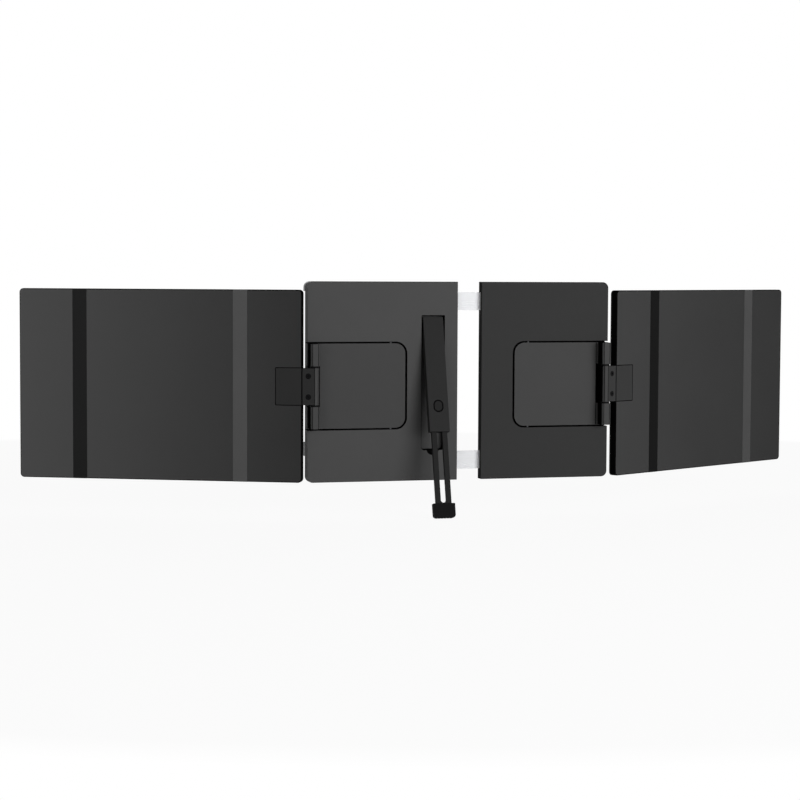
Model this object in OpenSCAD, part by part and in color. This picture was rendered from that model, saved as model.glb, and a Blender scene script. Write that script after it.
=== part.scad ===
// Laptop screen extender: two carriers that hang on a laptop's lid, a screen
// hinged to each one and a fold-out kickstand.
// X runs along the carriers, Z is up and the screens look towards +Y.
// The origin is on the lid pad in line with the kickstand, at mid-height.

/* [Carriers] */
// Height of both carriers
carrier_h = 200; // [190:1:230]
// Width of the left carrier, which holds the kickstand
left_w = 155.5; // [150:0.5:180]
// Width of the right carrier
right_w = 136.1; // [130:0.1:160]
// Gap between the carriers as drawn
carrier_gap = 25.2; // [20:0.1:40]
// Thickness from the lid pads to the back face
carrier_t = 11; // [11:0.1:14]
// Radius of the outer corners
corner_r = 6; // [3:0.5:10]
// Wall thickness of the back covers
wall_t = 1.6; // [1.4:0.1:2]
// Thickness of the front plates
front_t = 1.4; // [1.2:0.1:1.6]
// Thickness of the soft pads on the lid face
pad_t = 0.8; // [0.5:0.1:1]

/* [Lid hooks] */
// Thickness of the lid that the hooks take
lid_t = 4.9; // [4:0.1:6]
// Distance from the top of the carriers to the lid's top edge
lid_drop = 7.1; // [5:0.1:12]
// Thickness of the hook metal
hook_t = 1.2; // [1:0.1:2]
// Thickness of the soft liner
liner_t = 0.5; // [0.3:0.1:0.8]
// How far the hook lip reaches over the lid
hook_reach = 4.6; // [4:0.1:7]
// Height of the side hook
side_hook_h = 14; // [10:1:20]
// Middle of the side hook below the carrier's middle
side_hook_z = 67.2; // [64:0.2:70]

/* [Rails] */
// Height of each rail
rail_h = 18; // [14:0.5:20]
// Thickness of each rail
rail_t = 3; // [2:0.1:3]
// Height of the rails above and below the middle
rail_z = 80.4; // [78:0.1:82]
// Length of the rails
rail_l = 219; // [200:1:225]
// Distance from the left carrier's inner edge to the rails' left end
rail_inset = 86; // [60:1:100]

/* [Swing arms] */
// Depth of the U-shaped pocket from the outer edge
pocket_l = 102.4; // [95:0.1:110]
// Height of the pocket
pocket_h = 87.3; // [85:0.1:95]
// Height of the pocket's middle
pocket_z = -4; // [-6:0.1:-2]
// Corner radius of the pocket
pocket_r = 11.5; // [8:0.5:15]
// Width of the groove above and below the arm
groove_w = 1.2; // [0.8:0.1:2]
// Width of the groove at the arm's inner end
groove_end = 1.6; // [0.8:0.1:2.4]
// Thickness of the arm plate
arm_t = 3.6; // [3:0.1:4]
// Distance from the outer edge to the arm's pivot
arm_pivot_in = 86; // [80:0.5:90]
// Radius of the arm's pivot pins
arm_pin_r = 1; // [0.8:0.1:1.2]

/* [Screen hinges] */
// Height of the hinges' middle
hinge_z = -3.7; // [-6:0.1:0]
// Distance of the hinge axis from the carrier's outer edge
hinge_in = 5.7; // [5.5:0.1:6.5]
// Distance of the hinge axis behind the back face
hinge_out = 8.6; // [8:0.1:10]
// Radius of the knuckles
knuckle_r = 4.6; // [4:0.1:5]
// Radius of the arm knuckles' back edges
knuckle_edge = 2; // [0.5:0.1:3]
// Length of the slot in the arm plate behind the screen's knuckle
barrel_slot = 13; // [12:0.1:15]
// Radius of the hinge shaft
shaft_r = 2; // [1.5:0.1:2.2]
// Height of the screen's knuckle
screen_knuckle_h = 36.6; // [34:0.1:42]
// Thickness of the hinge leaf
leaf_t = 1.6; // [1.2:0.1:1.8]
// Length of the leaf over the screen
leaf_over = 26.4; // [20:0.2:30]
// Distance from the hinge axis to the screen's edge
screen_gap = 12; // [11.5:0.1:14]
// Turn of the left screen towards the user
left_angle = 25; // [0:1:40]
// Turn of the right screen towards the user
right_angle = 29.7; // [0:0.1:40]

/* [Screens] */
// Width of a screen
screen_w = 291; // [280:1:310]
// Height of a screen
screen_h = 190.8; // [185:0.1:198]
// Thickness of a screen
screen_t = 8.4; // [8:0.1:9]
// Radius of a screen's corners
screen_r = 4; // [3:0.5:6]
// Width of the picture
picture_w = 286.5; // [275:0.5:305]
// Height of the picture
picture_h = 179.1; // [170:0.1:186]
// Width of the strips let into the screen's back
strip_w = 14.5; // [10:0.5:18]
// Middle of the inner strip from the screen's inner edge
strip_inner = 62.6; // [50:0.2:80]
// Middle of the outer strip from the screen's inner edge
strip_outer = 228; // [210:1:240]
// Height of the first button above the hinges' middle
button_top = 16.2; // [10:0.1:30]
// Distance between the buttons
button_pitch = 9.4; // [8:0.1:12]

/* [Kickstand] */
// Distance from the left carrier's inner edge to the kickstand's middle
stand_in = 25.8; // [20:0.1:30]
// Height of the stand's hinge pin
stand_pivot_z = 60.1; // [55:0.1:62]
// Angle at which the stand is drawn open
stand_angle = 13.7; // [12:0.1:40]
// Width of the stand channel
stand_w = 20.8; // [18:0.2:22]
// Thickness of the stand channel
stand_t = 7.2; // [7:0.1:7.4]
// Length of the stand channel below its pin
stand_l = 113; // [100:1:114]
// Width of the recess around the stand
recess_w = 23.6; // [22.8:0.1:25]
// Lowest edge of the recess
recess_bottom = -69; // [-69.4:0.1:-68]
// Width of the leg
leg_w = 16.2; // [14:0.2:16.6]
// Thickness of the leg
leg_t = 3.4; // [3:0.1:3.4]
// Width of the slot in the leg
slot_w = 5.6; // [5.4:0.1:6]
// Distance from the pin to the top of the foot as drawn
foot_top = 184.7; // [150:0.1:185]
// Length of the leg above the foot
leg_l = 107; // [100:1:107]
// Height of the rubber foot
foot_h = 14.6; // [12:0.2:16]
// Width of the rubber foot
foot_w = 22.2; // [20:0.2:22.4]
// Distance from the pin to the release button
button_down = 87; // [80:1:90]

/* [Hidden] */
$fn = 48;

// Room left past a surface that a cut goes through
over = 1;
// Clearance between pieces that move past each other
gap = 0.3;
// Clearance of a pin or shaft in its running bore
running = 0.05;

// Levels from the back face towards the lid
back_y = -carrier_t;
cover_y = back_y + wall_t;
plate_y = -pad_t;
shell_y = plate_y - front_t;
hook_y = lid_t + liner_t;

// Places along X
left_edge = stand_in - left_w;
left_inner = stand_in;
right_inner = stand_in + carrier_gap;
right_edge = right_inner + right_w;

// Rails
rail_front = shell_y - 0.4;
rail_back = rail_front - rail_t;
rail_x = left_inner - rail_inset;
rail_flute = 0.3;
rail_screw_head_r = 2.2;
rail_screw_head_t = 1.2;
rail_screw_r = 1.2;
rail_screws_x = [rail_x + 8, rail_x + 42, rail_x + 76];
rail_stop_x = rail_x + rail_l - 4;
glide_t = 2.4;
glide_l = 16;
glide_gap = 0.2;
glide_places = [4, 34];

// Cover screws, from the outer edge and above or below the middle
screw_r = 1.1;
screw_head_r = 2.1;
boss_r = 3;
boss_z = 56;
left_screws = [8, 60, left_w - 7];
right_screws = [8, 60, right_w - 8];

// Swing arms
arm_half = pocket_h / 2 - groove_w;
arm_pivot_y = back_y + arm_t / 2;
arm_pin_l = 8;
pin_boss = 3;
lip_y = back_y + arm_t + gap;

// Screen hinges
knuckle_half = arm_half - 0.4;
washer_t = 1.5;
screen_knuckle_half = screen_knuckle_h / 2;
arm_knuckle_start = screen_knuckle_half + gap + washer_t;
block_depth = 5.8;
leaf_end = 0.8;
leaf_half = screen_knuckle_half;
leaf_screw_s = 6.6;
leaf_screw_z = 10.3;
leaf_screw_r = 1.5;
leaf_screw_head_r = 2.8;
seat_floor = 1.2;

// Screens, s runs outwards from the inner edge and d forwards from the back
bezel_t = 1.6;
lip_t = 1;
panel_t = 2.2;
panel_play = 0.2;
strip_t = 0.6;
board_w = 40;
board_h = 84;
board_t = 1;
socket_w = 8.9;
socket_t = 3.2;
socket_l = 8;
socket_wall = 0.3;
sockets_z = [-22, -38];
key_h = 3.6;
key_t = 2.2;
key_proud = 0.6;
key_flange = 0.8;
key_collar = 0.4;
key_d = 3.4;

// Kickstand
recess_top = stand_pivot_z + 5.9;
recess_floor = back_y + 8.1;
recess_r = 3;
recess_wall = 1.4;
recess_skin = 0.7;
notch_r = 6;
notch_depth = 3.4;
stand_pivot_y = back_y + stand_t / 2 + 0.2;
stand_top = 3.9;
stand_pin_r = 1.5;
stand_pin_hold = 2.6;
stand_wall = 1.8;
cavity_w = leg_w + 2 * gap;
cavity_t = leg_t + 2 * gap;
cavity_top = 4.5;
slot_top = 3.8;
slot_end = 0.8;
foot_grip = 10;
foot_chamfer = 3;
release_w = 9.2;
release_h = 11.4;
release_t = 1;
stem_r = 2.4;
stem_l = 4.7;
stem_bore_r = 1.7;
stem_bore_top = 1.6;
spring_r = 1.25;
spring_wire_r = 0.2;
spring_turns = 5;

// Colours
cover_grey = [0.29, 0.29, 0.3];
arm_grey = [0.26, 0.26, 0.27];
screen_grey = [0.2, 0.2, 0.21];
dark_strip = [0.1, 0.1, 0.1];
light_strip = [0.29, 0.29, 0.3];
stand_grey = [0.19, 0.19, 0.2];
rubber_black = [0.1, 0.1, 0.1];
liner_grey = [0.35, 0.35, 0.36];
rail_silver = [0.88, 0.89, 0.9];
steel = [0.7, 0.7, 0.72];

// A plate between two levels, its outline drawn in X and Z
module slab(y_back, y_front) {
    translate([0, y_front, 0]) rotate([90, 0, 0]) linear_extrude(y_front - y_back) children();
}

// A rectangle with round corners around the middle of its height
module round_box(x0, x1, half, r) {
    translate([x0 + r, -half]) square([x1 - x0 - 2 * r, 2 * half]);
    translate([x0, r - half]) square([x1 - x0, 2 * (half - r)]);
    for (x = [x0 + r, x1 - r], z = [r - half, half - r]) {
        translate([x, z]) circle(r);
    }
}

// Places a carrier's pieces, drawn from the outer edge inwards
module on_left() {
    translate([left_edge, 0, 0]) children();
}

module on_right() {
    translate([right_edge, 0, 0]) mirror([1, 0, 0]) children();
}

// Places a screen's pieces, drawn from its inner edge and its back
module screen_turn(angle) {
    rotate([0, 0, angle]) translate([screen_gap, -knuckle_r, 0]) children();
}

module on_left_screen() {
    translate([left_edge + hinge_in, back_y - hinge_out, hinge_z])
        mirror([1, 0, 0]) screen_turn(left_angle) children();
}

module on_right_screen() {
    translate([right_edge - hinge_in, back_y - hinge_out, hinge_z])
        screen_turn(right_angle) children();
}

// Places the kickstand's pieces, drawn closed and hanging from their pin
module on_stand() {
    translate([0, stand_pivot_y, stand_pivot_z]) rotate([-stand_angle, 0, 0]) children();
}

// Outline of a carrier with round outer corners, drawn in by inset
module carrier_outline(w, inset) {
    r = corner_r - inset;
    half = carrier_h / 2 - inset;
    translate([inset + r, -half]) square([w - 2 * inset - r, 2 * half]);
    translate([inset, r - half]) square([r + over, 2 * (half - r)]);
    for (z = [r - half, half - r]) {
        translate([inset + r, z]) circle(r);
    }
}

// Outline of the U-shaped pocket, open at the outer edge
module pocket_outline(grow, start, end) {
    half = pocket_h / 2 + grow;
    r = pocket_r + grow;
    reach = pocket_l + end;
    translate([start, pocket_z - half]) square([reach - r - start, 2 * half]);
    translate([reach - r - over, pocket_z - half + r]) square([r + over, 2 * (half - r)]);
    for (z = [pocket_z - half + r, pocket_z + half - r]) {
        translate([reach - r, z]) circle(r);
    }
}

// Outline of the kickstand's recess around x = 0, with round lower corners
module recess_outline(grow) {
    half = recess_w / 2 + grow;
    low = recess_bottom - grow;
    r = recess_r + grow;
    translate([-half, low + r]) square([2 * half, recess_top + grow - low - r]);
    translate([r - half, low]) square([2 * (half - r), r + over]);
    for (x = [r - half, half - r]) {
        translate([x, low + r]) circle(r);
    }
}

module finger_notch(grow) {
    translate([0, recess_bottom + over]) circle(notch_r + grow);
}

// A carrier's shell with its pocket, before any recess is cut
module cover_shell(w, screws) {
    difference() {
        union() {
            slab(back_y, cover_y) carrier_outline(w, 0);
            slab(back_y, shell_y) difference() {
                carrier_outline(w, 0);
                carrier_outline(w, wall_t);
            }
            slab(back_y, shell_y) pocket_outline(wall_t, 0, wall_t);
            for (u = screws, z = [-boss_z, boss_z]) {
                translate([u, 0, z]) rotate([90, 0, 0]) translate([0, 0, -shell_y])
                    cylinder(h = shell_y - back_y, r = boss_r);
            }
            for (side = [-1, 1]) {
                pin_boss_block(side);
            }
        }
        slab(back_y - over, shell_y + over) pocket_outline(0, -over, 0);
        for (u = screws, z = [-boss_z, boss_z]) {
            translate([u, shell_y + over, z]) rotate([90, 0, 0])
                cylinder(h = 6 + over, r = screw_r);
        }
        arm_pin_pair(arm_pin_r);
        rail_notches(w);
    }
}

// Material around an arm pin behind the pocket's wall
module pin_boss_block(side) {
    z = pocket_z + side * (pocket_h / 2 + wall_t + pin_boss / 2 - 0.1);
    translate([arm_pivot_in - pin_boss, back_y, z - pin_boss / 2])
        cube([2 * pin_boss, 5, pin_boss]);
}

// The two pins that an arm swings on
module arm_pin_pair(r) {
    for (side = [-1, 1]) {
        z = pocket_z + side * (arm_half + wall_t + groove_w + pin_boss / 2 - arm_pin_l);
        translate([arm_pivot_in, arm_pivot_y, min(z, z + side * (arm_pin_l + 1))])
            cylinder(h = arm_pin_l + 1, r = r);
    }
}

// Openings for the rails in a carrier's inner wall
module rail_notches(w) {
    for (side = [-1, 1]) {
        translate([w - wall_t - over, rail_back - gap, side * rail_z - rail_h / 2 - 0.4])
            cube([wall_t + 2 * over, shell_y - rail_back + gap + over, rail_h + 0.8]);
    }
}

// Countersunk screws that hold a front plate
module cover_screws(screws) {
    for (u = screws, z = [-boss_z, boss_z]) {
        translate([u, plate_y, z]) rotate([90, 0, 0]) {
            cylinder(h = front_t, r1 = screw_head_r, r2 = screw_r);
            cylinder(h = front_t + 5, r = screw_r);
        }
    }
}

// A front plate with a lip that closes the pocket's mouth below the arm
module front_plate(w, screws) {
    difference() {
        slab(shell_y, plate_y) carrier_outline(w, 0);
        cover_screws(screws);
    }
    translate([0, lip_y, pocket_z - arm_half]) cube([wall_t, shell_y - lip_y, 2 * arm_half]);
}

// Hook over the lid's top corner
module corner_hook() {
    difference() {
        slab(plate_y, hook_y + hook_t) corner_hook_outline();
        lid_room(0);
    }
}

module corner_hook_outline() {
    intersection() {
        carrier_outline(left_w, 0);
        union() {
            translate([0, carrier_h / 2 - lid_drop - hook_reach + 2])
                square([26, lid_drop + hook_reach]);
            translate([0, carrier_h / 2 - lid_drop - hook_reach + 2.3]) square([3, 20]);
        }
    }
}

// The space that the lid and the liner take, grown by the given amount
module lid_room(grow) {
    low = -carrier_h / 2;
    translate([hook_t + 0.3, -grow, low])
        cube([left_w, hook_y + grow, carrier_h - lid_drop + liner_t]);
}

// Hook over the lid's side edge
module side_hook() {
    z = -side_hook_z - side_hook_h / 2;
    translate([0, plate_y, z]) cube([hook_t + 0.3, hook_y + hook_t - plate_y, side_hook_h]);
    translate([0, hook_y, z]) cube([hook_reach, hook_t, side_hook_h]);
    translate([0, plate_y, z]) cube([12, pad_t, side_hook_h]);
}

// Soft liners inside the two hooks
module hook_liners() {
    u = hook_t + 0.3;
    z = -side_hook_z - side_hook_h / 2;
    translate([u, 0, z]) cube([liner_t, hook_y, side_hook_h]);
    translate([u, lid_t, z]) cube([hook_reach - u, liner_t, side_hook_h]);
    top = carrier_h / 2 - lid_drop;
    translate([u, 0, top]) cube([26 - u, hook_y, liner_t]);
}

module face_pads(w, inner) {
    translate([14, plate_y, -50]) cube([10, pad_t, 130]);
    translate([inner - 5, plate_y, -78]) cube([10, pad_t, 156]);
}

// Rail profile in Y and Z with fine flutes along its back
module rail(z) {
    difference() {
        translate([rail_x, rail_back, z - rail_h / 2]) cube([rail_l, rail_t, rail_h]);
        for (flute = [2, 8.6, 11.2, 13.6, 15.6]) {
            translate([rail_x - over, rail_back - over, z + rail_h / 2 - flute - rail_flute])
                cube([rail_l + 2 * over, over + rail_flute, rail_flute]);
        }
        rail_screw_row(z, rail_screw_r);
    }
}

// Shanks of the screws that go through a rail
module rail_screw_row(z, r) {
    for (x = rail_screws_x) {
        translate([x, shell_y + 1, z]) rotate([90, 0, 0])
            cylinder(h = shell_y + 1 - rail_back, r = r);
    }
    translate([rail_stop_x, rail_front, z]) rotate([90, 0, 0]) cylinder(h = rail_t, r = r);
}

module rail_screw_heads(z) {
    for (x = concat(rail_screws_x, [rail_stop_x])) {
        translate([x, rail_back, z]) rotate([90, 0, 0])
            cylinder(h = rail_screw_head_t, r = rail_screw_head_r);
    }
}

// Raised lands of the left front plate that the rails are screwed to
module rail_lands() {
    for (z = [-rail_z, rail_z], x = rail_screws_x) {
        translate([x - 5, rail_front, z - 6]) cube([10, shell_y - rail_front, 12]);
    }
}

// A channel that runs over a rail
module glide(z) {
    back = rail_back - glide_t;
    half = rail_h / 2 + glide_gap;
    difference() {
        translate([0, back, z - half - glide_t])
            cube([glide_l, shell_y - back, 2 * (half + glide_t)]);
        translate([-over, rail_back - glide_gap, z - half])
            cube([glide_l + 2 * over, shell_y - rail_back + glide_gap + over, 2 * half]);
    }
}

// Outline of an arm's knuckle: a block on the plate with round back edges
module knuckle_outline() {
    back = back_y - hinge_out - knuckle_r;
    flat = knuckle_r - knuckle_edge;
    translate([hinge_in - knuckle_r, back + knuckle_edge])
        square([2 * knuckle_r, back_y - back - knuckle_edge]);
    translate([hinge_in - flat, back]) square([2 * flat, 2 * knuckle_edge]);
    for (x = [-flat, flat]) {
        translate([hinge_in + x, back + knuckle_edge]) circle(knuckle_edge);
    }
}

module swing_arm() {
    difference() {
        union() {
            slab(back_y, back_y + arm_t) pocket_outline(-groove_w, 0, -groove_end);
            for (z = [hinge_z - knuckle_half, hinge_z + arm_knuckle_start]) {
                translate([0, 0, z])
                    linear_extrude(knuckle_half - arm_knuckle_start) knuckle_outline();
            }
        }
        hinge_axis() cylinder(h = carrier_h, r = shaft_r, center = true);
        arm_pin_pair(arm_pin_r + running);
        translate([-over, back_y - over, hinge_z - arm_knuckle_start])
            cube([barrel_slot + over, arm_t + 2 * over, 2 * arm_knuckle_start]);
    }
}

module hinge_axis() {
    translate([hinge_in, back_y - hinge_out, hinge_z]) children();
}

module hinge_shaft() {
    hinge_axis() cylinder(h = 2 * knuckle_half, r = shaft_r, center = true);
}

module hinge_washers() {
    for (z = [-arm_knuckle_start, arm_knuckle_start - washer_t]) {
        hinge_axis() translate([0, 0, z]) difference() {
            cylinder(h = washer_t, r = knuckle_r - 0.2);
            translate([0, 0, -over]) cylinder(h = washer_t + 2 * over, r = shaft_r);
        }
    }
}

// Screws through the leaf into the knuckle block
module leaf_screws() {
    for (z = [-leaf_screw_z, leaf_screw_z]) {
        translate([-leaf_screw_s, 0, z]) rotate([-90, 0, 0]) {
            cylinder(h = 1.4, r1 = leaf_screw_head_r, r2 = leaf_screw_r);
            cylinder(h = block_depth - over, r = leaf_screw_r);
        }
    }
}

module hinge_leaf() {
    difference() {
        slab(0, leaf_t) union() {
            round_box(-screen_gap - leaf_end, leaf_over, leaf_half, 1);
            translate([-screen_gap - leaf_end, -leaf_half]) square([10, 2 * leaf_half]);
        }
        leaf_screws();
    }
}

module knuckle_block() {
    difference() {
        translate([0, 0, -screen_knuckle_half]) linear_extrude(screen_knuckle_h) {
            translate([-screen_gap, knuckle_r]) circle(knuckle_r);
            translate([-screen_gap, leaf_t]) square([screen_gap, block_depth - leaf_t]);
        }
        translate([-screen_gap - leaf_end, -over, -screen_knuckle_half - over])
            cube([screen_gap + leaf_end + over, leaf_t + over, screen_knuckle_h + 2 * over]);
        translate([-screen_gap, knuckle_r, 0])
            cylinder(h = carrier_h, r = shaft_r + running, center = true);
        leaf_screws();
    }
}

module screen_outline(inset) {
    round_box(inset, screen_w - inset, screen_h / 2 - inset, screen_r - inset);
}

// The back shell of a screen, with its seats for the leaf and the strips
module screen_cover() {
    cover_d = screen_t - bezel_t;
    difference() {
        union() {
            difference() {
                slab(0, cover_d) screen_outline(0);
                slab(wall_t, cover_d + over) screen_outline(wall_t);
            }
            slab(over, wall_t + seat_floor)
                round_box(over, leaf_over + 2, leaf_half + 2, 1);
        }
        slab(-over, leaf_t) union() {
            round_box(-over, leaf_over, leaf_half, 1);
            translate([-over, -leaf_half]) square([10, 2 * leaf_half]);
        }
        for (s = [strip_inner, strip_outer]) {
            strip_block(s, over);
        }
        for (z = sockets_z) {
            socket_place(z) linear_extrude(3 * over + wall_t) socket_outline(0.1);
        }
        for (i = [0:2]) {
            key_body(i, 0.2, screen_w - wall_t - over, screen_w + over);
        }
    }
}

// A strip across the whole back, its ends flush with the top and bottom edges
module strip_block(s, extra) {
    translate([s - strip_w / 2, -extra, -screen_h / 2 - extra])
        cube([strip_w, strip_t + extra, screen_h + 2 * extra]);
}

module screen_bezel() {
    difference() {
        slab(screen_t - bezel_t, screen_t) screen_outline(0);
        slab(screen_t - bezel_t - over, screen_t - lip_t) screen_outline(wall_t);
        side = (screen_w - picture_w) / 2;
        slab(0, screen_t + over) round_box(side, screen_w - side, picture_h / 2, 0.6);
    }
}

module display_panel() {
    side = wall_t + panel_play;
    slab(screen_t - lip_t - panel_t, screen_t - lip_t)
        round_box(side, screen_w - side, picture_h / 2 + 2, 1);
}

// The board behind the sockets, with its chips and a connector
module driver_board() {
    s = screen_w - socket_l - board_w;
    z = button_top + 4 - board_h;
    translate([s, wall_t, z]) cube([board_w, board_t, board_h]);
    translate([s + 10, wall_t + board_t, z + 30]) cube([14, 1.1, 14]);
    translate([s + 12, wall_t + board_t, z + 12]) cube([8, 0.9, 10]);
    translate([s + 8, wall_t + board_t, z + 56]) cube([9, 1, 9]);
    translate([s + 2, wall_t + board_t, z + 20]) cube([3.5, 1.6, 34]);
}

// Places a socket's outline at the outer edge, running outwards
module socket_place(z) {
    translate([screen_w - wall_t - over, wall_t + socket_t / 2, z]) rotate([0, 90, 0])
        children();
}

// A flat-sided loop, long in Z
module socket_outline(grow) {
    r = socket_t / 2 + grow;
    half = (socket_w - socket_t) / 2;
    translate([-half, -r]) square([2 * half, 2 * r]);
    for (x = [-half, half]) {
        translate([x, 0]) circle(r);
    }
}

module usb_sockets() {
    for (z = sockets_z) {
        socket_place(z) translate([0, 0, wall_t + over - socket_l]) {
            difference() {
                linear_extrude(socket_l) socket_outline(0);
                translate([0, 0, 1.2]) linear_extrude(socket_l) socket_outline(-socket_wall);
            }
            translate([-3.2, -0.35, 1]) cube([6.4, 0.7, socket_l - 2]);
        }
    }
}

// A button's shaft through the outer wall
module key_body(i, grow, s0, s1) {
    z = button_top - i * button_pitch;
    translate([s0, key_d - key_t / 2 - grow, z - key_h / 2 - grow])
        cube([s1 - s0, key_t + 2 * grow, key_h + 2 * grow]);
}

module key(i) {
    key_body(i, 0, screen_w - wall_t - gap - key_flange - 0.6, screen_w + key_proud);
    key_body(i, key_collar, screen_w - wall_t - gap - key_flange, screen_w - wall_t - gap);
}

module stand_channel() {
    difference() {
        union() {
            translate([-stand_w / 2, -stand_t / 2, -stand_l])
                cube([stand_w, stand_t, stand_l]);
            translate([-stand_w / 2, -stand_t / 2, -over])
                cube([stand_w, stand_t / 2, stand_top + over]);
            rotate([0, 90, 0]) cylinder(h = stand_w, r = stand_top, center = true);
        }
        translate([-stand_w, stand_t / 2, -stand_l]) cube([2 * stand_w, stand_t, stand_l * 2]);
        translate([-stand_w, -stand_t * 1.5, -stand_l]) cube([2 * stand_w, stand_t, stand_l * 2]);
        translate([-cavity_w / 2, stand_wall - stand_t / 2, -stand_l - over])
            cube([cavity_w, cavity_t, stand_l + over - cavity_top]);
        rotate([0, 90, 0])
            cylinder(h = stand_w + 2 * over, r = stand_pin_r + running, center = true);
        release_place() linear_extrude(stand_wall + 2 * over, center = true) oval(gap);
    }
}

// Places the release button's outline on the back of the stand
module release_place() {
    translate([0, -stand_t / 2, -button_down]) rotate([90, 0, 0]) children();
}

module oval(grow) {
    r = release_w / 2 + grow;
    half = (release_h - release_w) / 2;
    for (z = [-half, half]) {
        translate([0, z]) circle(r);
    }
    translate([-r, -half]) square([2 * r, 2 * half]);
}

// The button's cap and the hollow stem that runs through the leg's slot
module release_button() {
    release_place() {
        difference() {
            union() {
                translate([0, 0, -release_t]) linear_extrude(release_t) oval(0);
                translate([0, 0, -stem_l]) cylinder(h = stem_l - release_t / 2, r = stem_r);
            }
            translate([0, 0, -stem_l - over])
                cylinder(h = stem_l + over - stem_bore_top, r = stem_bore_r);
        }
    }
}

// Point of the spring's wire, from its foot to its top
function spring_point(t, l) = [
    spring_r * cos(360 * spring_turns * t),
    spring_r * sin(360 * spring_turns * t),
    spring_wire_r + t * (l - 2 * spring_wire_r)
];

module button_spring() {
    base = stand_wall + cavity_t;
    length = base - stem_bore_top;
    steps = spring_turns * 12;
    release_place() translate([0, 0, -base]) {
        for (i = [0:steps - 1]) {
            hull() {
                translate(spring_point(i / steps, length)) sphere(spring_wire_r, $fn = 6);
                translate(spring_point((i + 1) / steps, length)) sphere(spring_wire_r, $fn = 6);
            }
        }
    }
}

module stand_leg() {
    y = stand_wall + gap - stand_t / 2;
    half = slot_w / 2;
    slot_low = foot_grip + slot_end + half;
    slot_high = foot_grip + leg_l - slot_top - half;
    slab(y, y + leg_t) translate([0, -foot_top - foot_grip]) difference() {
        translate([-leg_w / 2, 0]) square([leg_w, leg_l + foot_grip]);
        translate([-half, slot_low]) square([slot_w, slot_high - slot_low]);
        for (z = [slot_low, slot_high]) {
            translate([0, z]) circle(half);
        }
    }
}

module stand_foot() {
    y = stand_wall + gap - stand_t / 2;
    low = -foot_top - foot_h;
    difference() {
        slab(-stand_t / 2, stand_t / 2) polygon([
            [-foot_w / 2, -foot_top],
            [-foot_w / 2, low + foot_chamfer],
            [foot_chamfer - foot_w / 2, low],
            [foot_w / 2 - foot_chamfer, low],
            [foot_w / 2, low + foot_chamfer],
            [foot_w / 2, -foot_top]
        ]);
        translate([-leg_w / 2, y, -foot_top - foot_grip])
            cube([leg_w, leg_t, foot_grip + over]);
    }
}

// The left carrier
module left_back_cover() color(cover_grey) {
    difference() {
        union() {
            on_left() cover_shell(left_w, left_screws);
            slab(back_y, recess_floor + recess_skin) recess_outline(recess_wall);
            slab(back_y, back_y + notch_depth + recess_skin) finger_notch(recess_skin);
            for (side = [-1, 1]) {
                translate([side * (recess_w / 2 + 2) - 2, back_y, stand_pivot_z - 4])
                    cube([4, shell_y - back_y, 8]);
            }
        }
        slab(back_y - over, recess_floor) recess_outline(0);
        slab(back_y - over, back_y + notch_depth) finger_notch(0);
        stand_pin_body();
    }
}

module left_front_plate() color(cover_grey) difference() {
    union() {
        on_left() front_plate(left_w, left_screws);
        rail_lands();
    }
    for (z = [-rail_z, rail_z]) {
        rail_screw_row(z, rail_screw_r);
    }
}

module left_corner_hook() color(liner_grey) on_left() corner_hook();
module left_side_hook() color(liner_grey) on_left() side_hook();
module left_hook_liners() color(rubber_black) on_left() hook_liners();
module left_face_pads() color(rubber_black) on_left() face_pads(left_w, left_w - stand_in);
module left_cover_screws() color(steel) on_left() cover_screws(left_screws);
module left_arm_pins() color(steel) on_left() arm_pin_pair(arm_pin_r);
module upper_rail() color(rail_silver) rail(rail_z);
module lower_rail() color(rail_silver) rail(-rail_z);

module rail_screws() color(steel) for (z = [-rail_z, rail_z]) {
    rail_screw_row(z, rail_screw_r);
    rail_screw_heads(z);
}

module stand_pin_body() {
    translate([0, stand_pivot_y, stand_pivot_z]) rotate([0, 90, 0])
        cylinder(h = recess_w + 2 * stand_pin_hold, r = stand_pin_r, center = true);
}

module stand_hinge_pin() color(steel) stand_pin_body();

// The right carrier
module right_back_cover() color(cover_grey) on_right() cover_shell(right_w, right_screws);
module right_front_plate() color(cover_grey) on_right() front_plate(right_w, right_screws);
module right_corner_hook() color(liner_grey) on_right() corner_hook();
module right_side_hook() color(liner_grey) on_right() side_hook();
module right_hook_liners() color(rubber_black) on_right() hook_liners();
module right_face_pads() color(rubber_black) on_right() face_pads(right_w, right_w - 26);
module right_cover_screws() color(steel) on_right() cover_screws(right_screws);
module right_arm_pins() color(steel) on_right() arm_pin_pair(arm_pin_r);

module rail_glides() color(liner_grey) for (x = glide_places, z = [-rail_z, rail_z]) {
    translate([right_inner + x, 0, 0]) glide(z);
}

// The swing arms and their hinge shafts
module left_swing_arm() color(arm_grey) on_left() swing_arm();
module left_hinge_shaft() color(steel) on_left() hinge_shaft();
module left_hinge_washers() color(steel) on_left() hinge_washers();
module right_swing_arm() color(arm_grey) on_right() swing_arm();
module right_hinge_shaft() color(steel) on_right() hinge_shaft();
module right_hinge_washers() color(steel) on_right() hinge_washers();

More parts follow.
